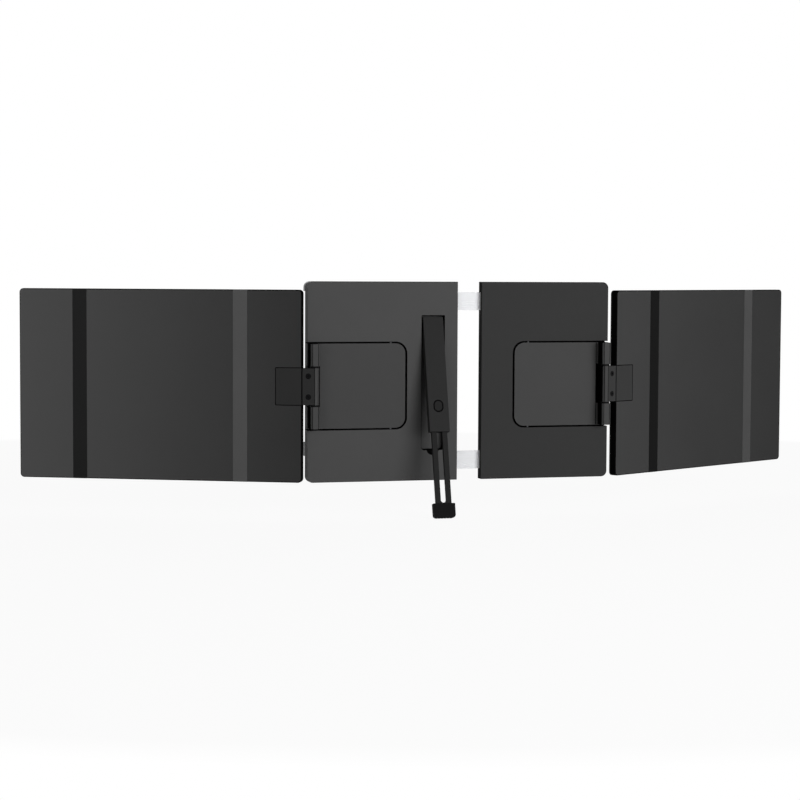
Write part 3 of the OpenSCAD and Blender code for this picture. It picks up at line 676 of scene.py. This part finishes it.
hookShapes = makeHooks()
for side in sideNames:
    makeBackCover(side)
    makeFrontPlate(side)
    for name, piece in hookShapes.items():
        settle(twin(piece), f"{side}_hook_{name}", carrierSpot(side), side + "_carrier",
               [f"{side}_{name}_hook"], "hook", edge=0.3)
for piece in hookShapes.values():
    bpy.data.objects.remove(piece)
print("carriers built")


# The rails

rails = {"start": -60.2, "length": 219.0, "flutes": (2, 8.6, 11.2, 13.6, 15.6), "flute": 0.35,
         "fluteDepth": 0.3, "screws": (8, 42, 76, 215), "head": 2.2, "headThickness": 1.2,
         "shank": 1.15, "socket": 0.9, "socketFloor": 0.4}


def makeRail():
    top, backY = railPlace["half"], railPlace["backY"]
    start, end = rails["start"], rails["start"] + rails["length"]
    piece = block((start, backY, -top), (end, railPlace["frontY"], top))
    for flute in rails["flutes"]:
        carve(piece, block((start - over, backY - over, top - flute - rails["flute"]),
                           (end + over, backY + rails["fluteDepth"], top - flute)))
    return piece


def makeRailScrew():  # with a hexagon socket
    y = railPlace["backY"]
    piece = rod(rails["head"], (0, y - rails["headThickness"], 0), (0, y, 0), 32)
    fuse(piece, rod(rails["shank"], (0, y - touch, 0), (0, railPlace["frontY"], 0), 24))
    return carve(piece, rod(rails["socket"], (0, y - 2 * over, 0),
                            (0, y - rails["socketFloor"], 0), 6))


upper = makeRail()
lower = twin(upper)
for name, piece, z in (("upper", upper, railPlace["z"]), ("lower", lower, -railPlace["z"])):
    settle(piece, name + "_rail_bar", shift(0, 0, z), "left_carrier",
           [name + "_rail"], "railMetal", edge=0.1)
screwPlaces = [(rails["start"] + x, 0, z) for z in (-railPlace["z"], railPlace["z"])
               for x in rails["screws"]]
settle(spread(makeRailScrew(), screwPlaces), "rail_screw_set", Matrix.Identity(4),
       "left_carrier", ["rail_screws"], "steel", edge=0.15)
print("rails built")


# The swing arms

arm = {"frontY": -7.4, "knuckle": (20.1, 42.05), "round": 2.0, "shaft": 2.0, "shaftReach": 60,
       "slot": 13.0, "slotEnd": 42.3, "seams": (2.4, 8.4), "seamWidth": 0.5, "seamDepth": 0.5}


def onArmWall(centre, face):  # painted shade on the sides of the grooves, the slot and the knuckles
    plateY = carrier["backY"]
    backY = plateY - screen["hingeOut"] - screen["knuckle"]
    inSeam = any(y + 2 * touch < centre.y < y + near for y in (backY, plateY))
    sideways = leans(face) if centre.y > plateY - touch else leans(face, limit=0.05)
    return centre.x > 2 * touch and (sideways or (looksBack(centre, face) and inSeam))


def makeArm():
    plateY, hingeZ, radius = carrier["backY"], carrier["hingeZ"], screen["knuckle"]
    axisX, axisY = screen["hingeIn"], plateY - screen["hingeOut"]
    backY = axisY - radius
    inner, outer = arm["knuckle"]
    wide, deep = arm["seamWidth"], arm["seamDepth"]
    piece = pocketSlab(-pocket["groove"], 0, -pocket["endGroove"], plateY, arm["frontY"])
    for sign in (-1, 1):
        low, high = sorted(hingeZ + sign * reach for reach in (inner, outer))
        foot = block((axisX - radius, backY, low), (axisX + radius, plateY + over, high))
        roundCorners(foot, alongZ, arm["round"], lambda c: c.y < axisY)
        for x in arm["seams"]:
            carve(foot, block((x, backY - over, low - over), (x + wide, backY + deep, high + over)))
        fuse(piece, foot)
        low, high = sorted(hingeZ + sign * reach for reach in (inner - over, arm["slotEnd"]))
        carve(piece, block((arm["slot"] - wide, plateY - over, low),
                           (arm["slot"], plateY + deep, high)))
    carve(piece, block((-over, plateY - over, hingeZ - inner),
                       (arm["slot"], arm["frontY"] + over, hingeZ + inner)))
    reach = arm["shaftReach"]
    return carve(piece, rod(arm["shaft"], (axisX, axisY, hingeZ - reach),
                            (axisX, axisY, hingeZ + reach), 32))


arms = {"left": makeArm()}
arms["right"] = twin(arms["left"])
for side, piece in arms.items():
    settle(piece, side + "_arm_frame", carrierSpot(side), side + "_arm",
           [side + "_swing_arm"], side + "Arm", edge=0.1, dark=onArmWall)
print("arms built")


# The screens' hinges, drawn outwards from the screen's inner edge and forwards from its back

leaf = {"thickness": 1.6, "start": -12.8, "end": 26.4, "half": 18.3, "corner": 1.0, "seam": 0.3,
        "fold": (-0.6, 0.3), "foldDepth": 0.35}
leafScrews = {"places": ((-6.6, 0, -10.3), (-6.6, 0, 10.3)), "head": 2.8, "headDepth": 1.4,
              "tip": 1.5, "shank": 1.45, "length": 4.6, "bite": 0.3, "play": 0.15,
              "socket": 1.25, "socketDepth": 1.1}
barrel = {"half": 18.3, "block": 5.8, "play": 0.3, "bore": 2.05, "seamAt": 62, "seam": 0.3,
          "seamReach": 6, "seamLip": 0.08, "darkFrom": 86, "darkTo": 178}


def leafScrew(grow=0.0):  # countersunk, its head flush with the leaf
    depth = leafScrews["headDepth"]
    head = rod(leafScrews["head"] + grow, (0, -grow, 0), (0, depth, 0), tip=leafScrews["tip"])
    return fuse(head, rod(leafScrews["shank"], (0, depth - leafScrews["bite"], 0),
                          (0, leafScrews["length"], 0)))


def makeLeaf():
    half, (fold0, fold1) = leaf["half"], leaf["fold"]
    piece = block((leaf["start"], 0, -half), (leaf["end"], leaf["thickness"], half))
    roundCorners(piece, alongY, leaf["corner"], lambda c: c.x > leaf["end"] - near, 5)
    carve(piece, block((fold0, -over, -half - over), (fold1, leaf["foldDepth"], half + over)))
    return carve(piece, spread(leafScrew(leafScrews["play"]), leafScrews["places"]))


def makeBarrel():
    half, radius, axis = barrel["half"], screen["knuckle"], -screen["edgeGap"]
    piece = rod(radius, (axis, radius, -half), (axis, radius, half), 64)
    fuse(piece, block((axis, leaf["thickness"], -half), (0, barrel["block"], half)))
    carve(piece, block((leaf["start"] - barrel["play"], -over, -half - over),
                       (over, leaf["thickness"], half + over)))
    turn = math.radians(barrel["seamAt"])
    x, y = axis - radius * math.sin(turn), radius - radius * math.cos(turn)
    carve(piece, rod(barrel["seam"], (x, y, -half - over), (x, y, half + over), 12))
    return carve(piece, rod(barrel["bore"], (axis, radius, -half - over),
                            (axis, radius, half + over), 32))


def onBarrelWall(centre, face):  # painted shade on its ends, its groove and the side towards the carrier's middle
    x, y = centre.x + screen["edgeGap"], centre.y - screen["knuckle"]
    turn = math.degrees(math.atan2(-x, -y))
    inSeam = (math.hypot(x, y) < screen["knuckle"] - barrel["seamLip"]
              and abs(turn - barrel["seamAt"]) < barrel["seamReach"])
    return abs(face.normal.z) > square or barrel["darkFrom"] < turn < barrel["darkTo"] or inSeam


def onLeafEdge(centre, face):  # painted shade on the leaf's edges, with the groove at the fold and the rims of the screw holes
    fold0, fold1 = leaf["fold"]
    return fold0 - touch < centre.x < fold1 + touch or leans(face)


def makeLeafScrews():  # each with a hexagon socket
    depth = leafScrews["socketDepth"]
    screw = carve(leafScrew(), rod(leafScrews["socket"], (0, -over, 0), (0, depth, 0), 6))
    return spread(screw, leafScrews["places"])


hingeParts = [
    ("leaf_plate", makeLeaf(), "hinge_leaf", "Leaf", "arm", 0.2, onLeafEdge),
    ("hinge_barrel", makeBarrel(), "knuckle_block", "Arm", "arm", 0.12, onBarrelWall),
    ("leaf_screw_pair", makeLeafScrews(), "leaf_screws", "blackSteel", "black_screw", 0.12, None),
]
for name, left, node, shade, slot, edge, dark in hingeParts:
    for side, piece in (("left", left), ("right", twin(left))):
        finish = side + shade if side + shade in finishes else shade
        settle(piece, side + "_" + name, screenSpot(side), side + "_screen",
               [side + "_" + node], finish, edge=edge, dark=dark)
print("screen hinges built")


# The screens

strips = {"width": 14.5, "depth": 0.6, "inner": 62.6, "outer": 228.0, "seam": 0.04, "rim": 0.15}
keys = {"top": 16.2, "pitch": 9.4, "height": 3.6, "thickness": 2.2, "proud": 0.6, "depth": 3.4,
        "names": ("power", "menu", "source"), "play": 0.2, "back": 0.3, "flange": 0.4,
        "flangeThickness": 0.8, "stem": 1.4, "dot": 0.55, "dotDepth": 0.25}
ports = {"z": (-22, -38), "width": 8.9, "thickness": 3.2, "length": 8.0, "wall": 0.3, "play": 0.1,
         "round": 0.97, "floor": 1.2, "tongueFrom": 1.0, "tongueTo": 1.2, "tongueHalf": 3.2,
         "tongueThick": 0.35}
glass = {"play": 0.2, "reach": 2.0, "thickness": 2.2, "frame": 3.4, "middle": 20.0}


def screenSlab(inset, back, front):
    half = screen["halfHeight"] - inset
    slab = block((inset, back, -half), (screen["width"] - inset, front, half))
    return roundCorners(slab, alongY, screen["corner"] - inset)


def portSlab(z, grow, start, end):
    half, y = ports["width"] / 2 + grow, screen["wall"] + ports["thickness"] / 2
    reach = ports["thickness"] / 2 + grow
    slab = block((start, y - reach, z - half), (end, y + reach, z + half))
    return roundCorners(slab, alongX, reach * ports["round"])


def keySlab(index, grow, start, end):
    z = keys["top"] - index * keys["pitch"]
    half, reach = keys["height"] / 2 + grow, keys["thickness"] / 2 + grow
    return block((start, keys["depth"] - reach, z - half), (end, keys["depth"] + reach, z + half))


def stripSlab(place, grow, back):
    half, reach = strips["width"] / 2 + grow, screen["halfHeight"] + (2 * over if grow else 0)
    return block((place - half, back, -reach), (place + half, strips["depth"], reach))


def makeShell():
    wall, width = screen["wall"], screen["width"]
    depth = screen["thickness"] - screen["bezel"]
    piece = screenSlab(0, 0, depth)
    pick(piece, "EDGE", lambda c, edge: all(abs(v.co.y) < touch * mm for v in edge.verts))
    bpy.ops.mesh.bevel(offset=screen["rim"] * mm, segments=3, affect="EDGES")
    leaveEdit()
    carve(piece, screenSlab(wall, wall, depth + over))
    rim, half, seam = screen["seatRim"], leaf["half"] + screen["seatRim"], leaf["seam"]
    fuse(piece, block((over, over, -half), (leaf["end"] + rim, wall + screen["seatFloor"], half)))
    half = leaf["half"] + seam
    seat = block((-over, -over, -half), (leaf["end"] + seam, leaf["thickness"], half))
    carve(piece, roundCorners(seat, alongY, leaf["corner"], lambda c: c.x > near, 5))
    start, end = width - wall - over, width + over
    carve(piece, *[stripSlab(strips[place], strips["seam"], -over) for place in ("inner", "outer")])
    carve(piece, *[portSlab(z, ports["play"], start, end) for z in ports["z"]])
    return carve(piece, *[keySlab(index, keys["play"], start, end)
                          for index in range(len(keys["names"]))])


def makeBezel():
    front, width = screen["thickness"], screen["width"]
    depth = front - screen["bezel"]
    piece = screenSlab(0, depth, front)
    carve(piece, screenSlab(screen["wall"], depth - over, front - screen["lip"]))
    side, half = (width - screen["picture"][0]) / 2, screen["picture"][1] / 2
    window = block((side, 0, -half), (width - side, front + over, half))
    return carve(piece, roundCorners(window, alongY, screen["pictureCorner"], segments=5))


def makeGlass():
    side, half = screen["wall"] + glass["play"], screen["picture"][1] / 2 + glass["reach"]
    front = screen["thickness"] - screen["lip"]
    piece = block((side, front - glass["thickness"], -half), (screen["width"] - side, front, half))
    return insetFaces(piece, looksFront, (glass["frame"], 0))


def makePorts():
    width, start = screen["width"], screen["width"] - ports["length"]
    y, half = screen["wall"] + ports["thickness"] / 2, ports["tongueHalf"]
    thick, floor = ports["tongueThick"], start + ports["floor"]
    socket = portSlab(0, 0, start, width - touch)
    carve(socket, portSlab(0, -ports["wall"], floor, width + over))
    tongue = block((start + ports["tongueFrom"], y - thick, -half),
                   (width - ports["tongueTo"], y + thick, half))
    paint(socket, finishes["steel"])
    paint(tongue, finishes["bezel"])
    return spread(join(socket, tongue), [(0, 0, z) for z in ports["z"]])


def makeKey(index):
    inner, outer = screen["width"] - screen["wall"] - keys["back"], screen["width"] + keys["proud"]
    piece = keySlab(index, 0, inner - keys["stem"], outer)
    fuse(piece, keySlab(index, keys["flange"], inner - keys["flangeThickness"], inner))
    if index == 0:  # the dot on the power button
        y, z = keys["depth"], keys["top"]
        carve(piece, rod(keys["dot"], (outer - keys["dotDepth"], y, z), (outer + over, y, z), 24))
    return piece


def onShellEdge(centre, face):  # the sides, rims, seat walls and holes, not beside the strips: the black side frame, and painted shade on the rims and in the gaps
    fromStrip = min(abs(centre.x - strips[place]) for place in ("inner", "outer"))
    onBack = (fromStrip < strips["width"] / 2 + near and centre.y < screen["rim"] + margin
              and abs(centre.z) < screen["halfHeight"] - near)
    return leans(face) and not onBack


def onPicture(centre, face):
    away = math.hypot(centre.x - screen["width"] / 2, centre.z)
    return looksFront(centre, face) and len(face.verts) > 3 and away < glass["middle"]


firstScreen = [makeShell(), makeBezel(), makeGlass(), makePorts(),
               *map(makeKey, range(len(keys["names"])))]
# which strip is dark and which is pale on each screen; their tones carry painted light
stripTones = {"left": ("Satin", "Gloss"), "right": ("Gloss", "Satin")}
for side, pieces in (("left", [twin(piece) for piece in firstScreen]), ("right", firstScreen)):
    spot, body = screenSpot(side), side + "_screen"
    shell, bezel, pane, sockets, *caps = pieces
    settle(shell, side + "_screen_shell", spot, body, [side + "_screen_cover"],
           side + "Back", edge=0.3, dark=onShellEdge, shade="edge")
    settle(bezel, side + "_screen_rim", spot, body, [side + "_screen_bezel"], "bezel",
           edge=0.3)
    paint(pane, finishes["glassEdge"])
    paint(pane, finishes["picture"], onPicture)
    settle(pane, side + "_screen_glass", spot, body, [side + "_display_panel"],
           edge=0.15)
    settle(sockets, side + "_ports", spot, body, [side + "_usb_sockets"], edge=0.08,
           segments=1)
    for name, cap in zip(keys["names"], caps):
        settle(cap, f"{side}_{name}_cap", spot, f"{side}_{name}_key",
               [f"{side}_{name}_button"], "key", edge=0.3, segments=3)
    for place, stripTone in zip(("inner", "outer"), stripTones[side]):
        strip = insetFaces(stripSlab(strips[place], 0, 0), looksBack, (strips["rim"], 0))
        settle(strip, f"{side}_{place}_inlay", spot, body,
               [f"{side}_{place}_strip"], side + stripTone, edge=0.1)
print("screens built")


# The kickstand, drawn down from its hinge

stand = {
    "angle": 13.7, "pinY": -7.2, "pinZ": 60.1, "width": 20.8, "thickness": 7.2, "length": 113.0,
    "top": 3.9, "wall": 1.8, "pinHole": 1.55, "cavity": (16.8, 4.0, 4.5), "footTop": 184.7,
}
standLeg = {"width": 16.2, "thickness": 3.4, "length": 107.0, "gap": 0.3, "slot": 5.6,
            "slotLow": 0.8, "slotHigh": 3.8, "flat": 0.02}
standFoot = {"width": 22.2, "height": 14.6, "chamfer": 3.0, "grip": 10.0,
             "slits": (-6, -3, 0, 3, 6), "slitHalf": 0.35, "slitDepth": 0.5}
button = {"down": 87.0, "width": 9.2, "height": 11.4, "thickness": 1.0, "play": 0.3, "round": 0.985,
          "rim": (0.7, 0), "dish": (0.5, -0.18), "stem": 2.4, "stemLength": 4.7, "bore": 1.7,
          "boreFrom": 1.6, "ring": 0.7}
spring = {"radius": 1.25, "wire": 0.2, "turns": 5, "length": 4.2, "steps": 24, "sides": 12,
          "travel": 0.8}
standSpot = (shift(0, stand["pinY"], stand["pinZ"])
             @ Matrix.Rotation(math.radians(-stand["angle"]), 4, "X"))
standBack = -stand["thickness"] / 2


def ovalSlab(grow, start, end):
    w, h, z = button["width"] / 2 + grow, button["height"] / 2 + grow, -button["down"]
    slab = block((-w, start, z - h), (w, end, z + h))
    return roundCorners(slab, alongY, w * button["round"], segments=16)


def makeChannel():
    w, t, top, length = stand["width"] / 2, stand["thickness"] / 2, stand["top"], stand["length"]
    piece = block((-w, -t, -length), (w, t, 0))
    drum = rod(top, (-w, 0, 0), (w, 0, 0), 64)
    fuse(piece, trim(drum, block((-w - over, -t, -2 * top), (w + over, t, 2 * top))))
    fuse(piece, block((-w, -t, -over), (w, 0, top)))
    wide, deep, down = stand["cavity"]
    y = stand["wall"] - t
    carve(piece, block((-wide / 2, y, -length - over), (wide / 2, y + deep, -down)),
          rod(stand["pinHole"], (-w - over, 0, 0), (w + over, 0, 0), 32))
    return carve(piece, ovalSlab(button["play"], -t - over, y + over))


def makeLeg():
    half, t, low = standLeg["width"] / 2, standLeg["thickness"], -stand["footTop"]
    y, top = stand["wall"] + standLeg["gap"] + standBack, low + standLeg["length"]
    piece = block((-half, y, low - standFoot["grip"]), (half, y + t, top))
    half = standLeg["slot"] / 2
    slot = block((-half, y - over, low + standLeg["slotLow"]),
                 (half, y + t + over, top - standLeg["slotHigh"]))
    return carve(piece, roundCorners(slot, alongY, half - standLeg["flat"], segments=14))


def makeFoot():
    half, t, top = standFoot["width"] / 2, stand["thickness"] / 2, -stand["footTop"]
    low, y = top - standFoot["height"], stand["wall"] + standLeg["gap"] + standBack
    piece = block((-half, -t, low), (half, t, top))
    roundCorners(piece, alongY, standFoot["chamfer"], lambda c: c.z < low + near, 3)
    half = standLeg["width"] / 2
    carve(piece, block((-half, y, top - standFoot["grip"]),
                       (half, y + standLeg["thickness"], top + over)))
    half, deep = standFoot["slitHalf"], standFoot["slitDepth"]
    return carve(piece, *[block((x - half, -t - over, low - over), (x + half, t + over, low + deep))
                          for x in standFoot["slits"]])


def makeButton():
    cap = ovalSlab(0, standBack, standBack + button["thickness"])
    insetFaces(cap, looksBack, button["rim"], button["dish"])
    z, end = -button["down"], standBack + button["stemLength"]
    fuse(cap, rod(button["stem"], (0, standBack + over / 2, z), (0, end, z), 32))
    return carve(cap, rod(button["bore"], (0, standBack + button["boreFrom"], z),
                          (0, end + over, z), 32))


def onButtonHole(centre, face):  # painted shade on the rim of the button's hole and on the channel's inside
    away = math.hypot(centre.x, centre.z + button["down"])
    inside = (abs(centre.x) < stand["cavity"][0] / 2 + touch and centre.z < -2 * near
              and abs(centre.y) < stand["thickness"] / 2 - near / 2)
    beside = away < button["height"] / 2 + button["ring"] and centre.y < 0
    return inside or (beside and leans(face, limit=0.99))


# painted shade: a dark ring on the button's outer band and its sides
def onButtonRim(centre, face):
    onSide = leans(face, limit=0.8) and centre.y < standBack + button["thickness"] + touch
    return centre.y < standBack + touch / 2 or onSide


def makeSpring():  # wound along z, from its foot up
    wire, steps = spring["wire"], spring["steps"] * spring["turns"]
    choose()
    bpy.ops.mesh.primitive_circle_add(vertices=spring["sides"], radius=wire * mm,
                                      rotation=(math.radians(90), 0, 0),
                                      location=(spring["radius"] * mm, 0, wire * mm))
    coil = applyPlace()
    modify(coil, "SCREW", angle=math.tau * spring["turns"], steps=steps, render_steps=steps,
           screw_offset=(spring["length"] - 2 * wire) * mm)
    pick(coil, "FACE", lambda c, face: True)
    bpy.ops.mesh.fill_holes(sides=spring["sides"])
    leaveEdit()
    return coil


standParts = [
    ("tube", makeChannel(), "stand_channel", "stand", "stand", "kickstand", 0.3, onButtonHole),
    ("blade", makeLeg(), "stand_leg", "leg", "stand", "leg", 0.3, None),
    ("shoe", makeFoot(), "stand_foot", "rubber", "soft", "leg", 0.45, None),
    ("button", makeButton(), "release_button", "leg", "stand", "release", 0.12, onButtonRim),
]
for name, piece, node, finish, slot, body, edge, dark in standParts:
    settle(piece, "stand_" + name, standSpot, body, [node], finish, edge, segments=3,
           dark=dark)

coilFoot = stand["cavity"][1] + stand["wall"] + standBack
springSpot = (standSpot @ shift(0, coilFoot, -button["down"])
              @ Matrix.Rotation(math.radians(90), 4, "X"))
coil = makeSpring()
settle(coil, "stand_spring", springSpot, "kickstand", ["button_spring"], "steel",
       edge=0.02, segments=1)
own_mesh(coil)
print("kickstand built")


# Nodes that keep their own shape

keptNodes = {
    "liner": ["left_hook_liners", "right_hook_liners", "left_face_pads", "right_face_pads"],
    "greySteel": ["left_arm_pins", "right_arm_pins"],
    "blackSteel": ["left_hinge_washers", "right_hinge_washers", "stand_hinge_pin",
                   "left_hinge_shaft", "right_hinge_shaft"],
    "glide": ["rail_glides"],
    "board": ["left_driver_board", "right_driver_board"],
}
for finish, names in keptNodes.items():
    for name in names:
        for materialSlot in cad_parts[name].material_slots:
            materialSlot.material = finishes[finish]
print("kept nodes finished")


# The studio, with its lengths in metres

studio = {
    "floorSize": 12.0, "floorDrop": 0.0002, "floorShade": 0.97, "floorShow": 0.93, "fadeFrom": 0.4,
    "fadeOver": 0.7, "ambient": 0.15, "background": 1.0,
    "lamps": {
        "key": {"place": (1.05, -2.0, 0.18), "aim": (0.0, 0.0, 0.0), "size": 1.5, "watts": 49},
        "fill": {"place": (-1.5, -1.5, 0.3), "aim": (-0.2, 0.0, 0.0), "size": 1.0, "watts": 5},
        "front": {"place": (0.3, 2.0, 1.2), "aim": (0.0, 0.0, 0.0), "size": 1.6, "watts": 12},
    },
}
white = (1, 1, 1, 1)


def shownRays(f):  # rays that should see the plain background
    shown = f.add("ShaderNodeLightPath", output="Is Camera Ray")
    for ray in ("Is Glossy Ray", "Is Transmission Ray"):
        shown = shown.work("MAXIMUM", shown, f.add("ShaderNodeLightPath", output=ray))
    return shown


def makeFloor():
    choose()
    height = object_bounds()[0].z - studio["floorDrop"]
    bpy.ops.mesh.primitive_plane_add(size=studio["floorSize"], location=(0, 0, height))
    floor = bpy.context.object
    floor.name = "studio_floor"
    f = Finish("paleFloor")
    path = shownRays(f)
    spot = f.add("ShaderNodeTexCoord", output="Object")
    away = f.add("ShaderNodeVectorMath", {"operation": "LENGTH"}, {0: spot}, "Value")
    fade = (away - studio["fadeFrom"]) * (1 / studio["fadeOver"])
    show = fade.work("MINIMUM", fade.work("MAXIMUM", fade, studio["floorShow"]), 1.0)
    matte = f.add("ShaderNodeBsdfDiffuse", {}, {"Color": (studio["floorShade"],) * 3 + (1,)})
    bright = f.add("ShaderNodeEmission", {}, {"Color": white, "Strength": studio["background"]})
    f.toOutput(f.add("ShaderNodeMixShader", {}, {0: path * show, 1: matte, 2: bright}))
    floor.data.materials.append(f.material)


def makeWorld():
    world = bpy.data.worlds.new("studio")
    bpy.context.scene.world = world
    f = Finish("studio", world)
    shown = shownRays(f)
    dim, full = [f.add("ShaderNodeBackground", {}, {"Color": white, "Strength": studio[strength]})
                 for strength in ("ambient", "background")]
    mixed = f.add("ShaderNodeMixShader", {}, {0: shown, 1: dim, 2: full})
    f.toOutput(mixed, "ShaderNodeOutputWorld")


def addObject(name, data):
    holder = bpy.data.objects.new(name, data)
    bpy.context.collection.objects.link(holder)
    return holder


def makeLamp(name, lamp):
    data = bpy.data.lights.new(name, "AREA")
    data.shape = "DISK"
    data.size = lamp["size"]
    data.energy = lamp["watts"]
    holder = addObject(name, data)
    holder.location = lamp["place"]
    away = Vector(lamp["place"]) - Vector(lamp["aim"])
    holder.rotation_euler = away.to_track_quat("Z", "Y").to_euler()


view = {  # where the camera stands and looks, with its angles in radians
    "place": (-0.587938, -2.040095, 0.109675),
    "yaw": -0.2663795, "pitch": -0.0608789, "roll": -0.0044794, "lens": 94.59, "sensor": 36.0,
}


def makeCamera():
    data = bpy.data.cameras.new("camera")
    data.sensor_width = view["sensor"]
    data.lens = view["lens"]
    camera = addObject("camera", data)
    turn = (Matrix.Rotation(view["yaw"], 4, "Z")
            @ Matrix.Rotation(view["pitch"] + math.pi / 2, 4, "X")
            @ Matrix.Rotation(-view["roll"], 4, "Z"))
    camera.matrix_world = Matrix.Translation(view["place"]) @ turn
    bpy.context.scene.camera = camera


makeFloor()
makeWorld()
for name, lamp in studio["lamps"].items():
    makeLamp(name, lamp)
makeCamera()
bpy.context.scene.view_settings.view_transform = "Standard"
print("studio ready")
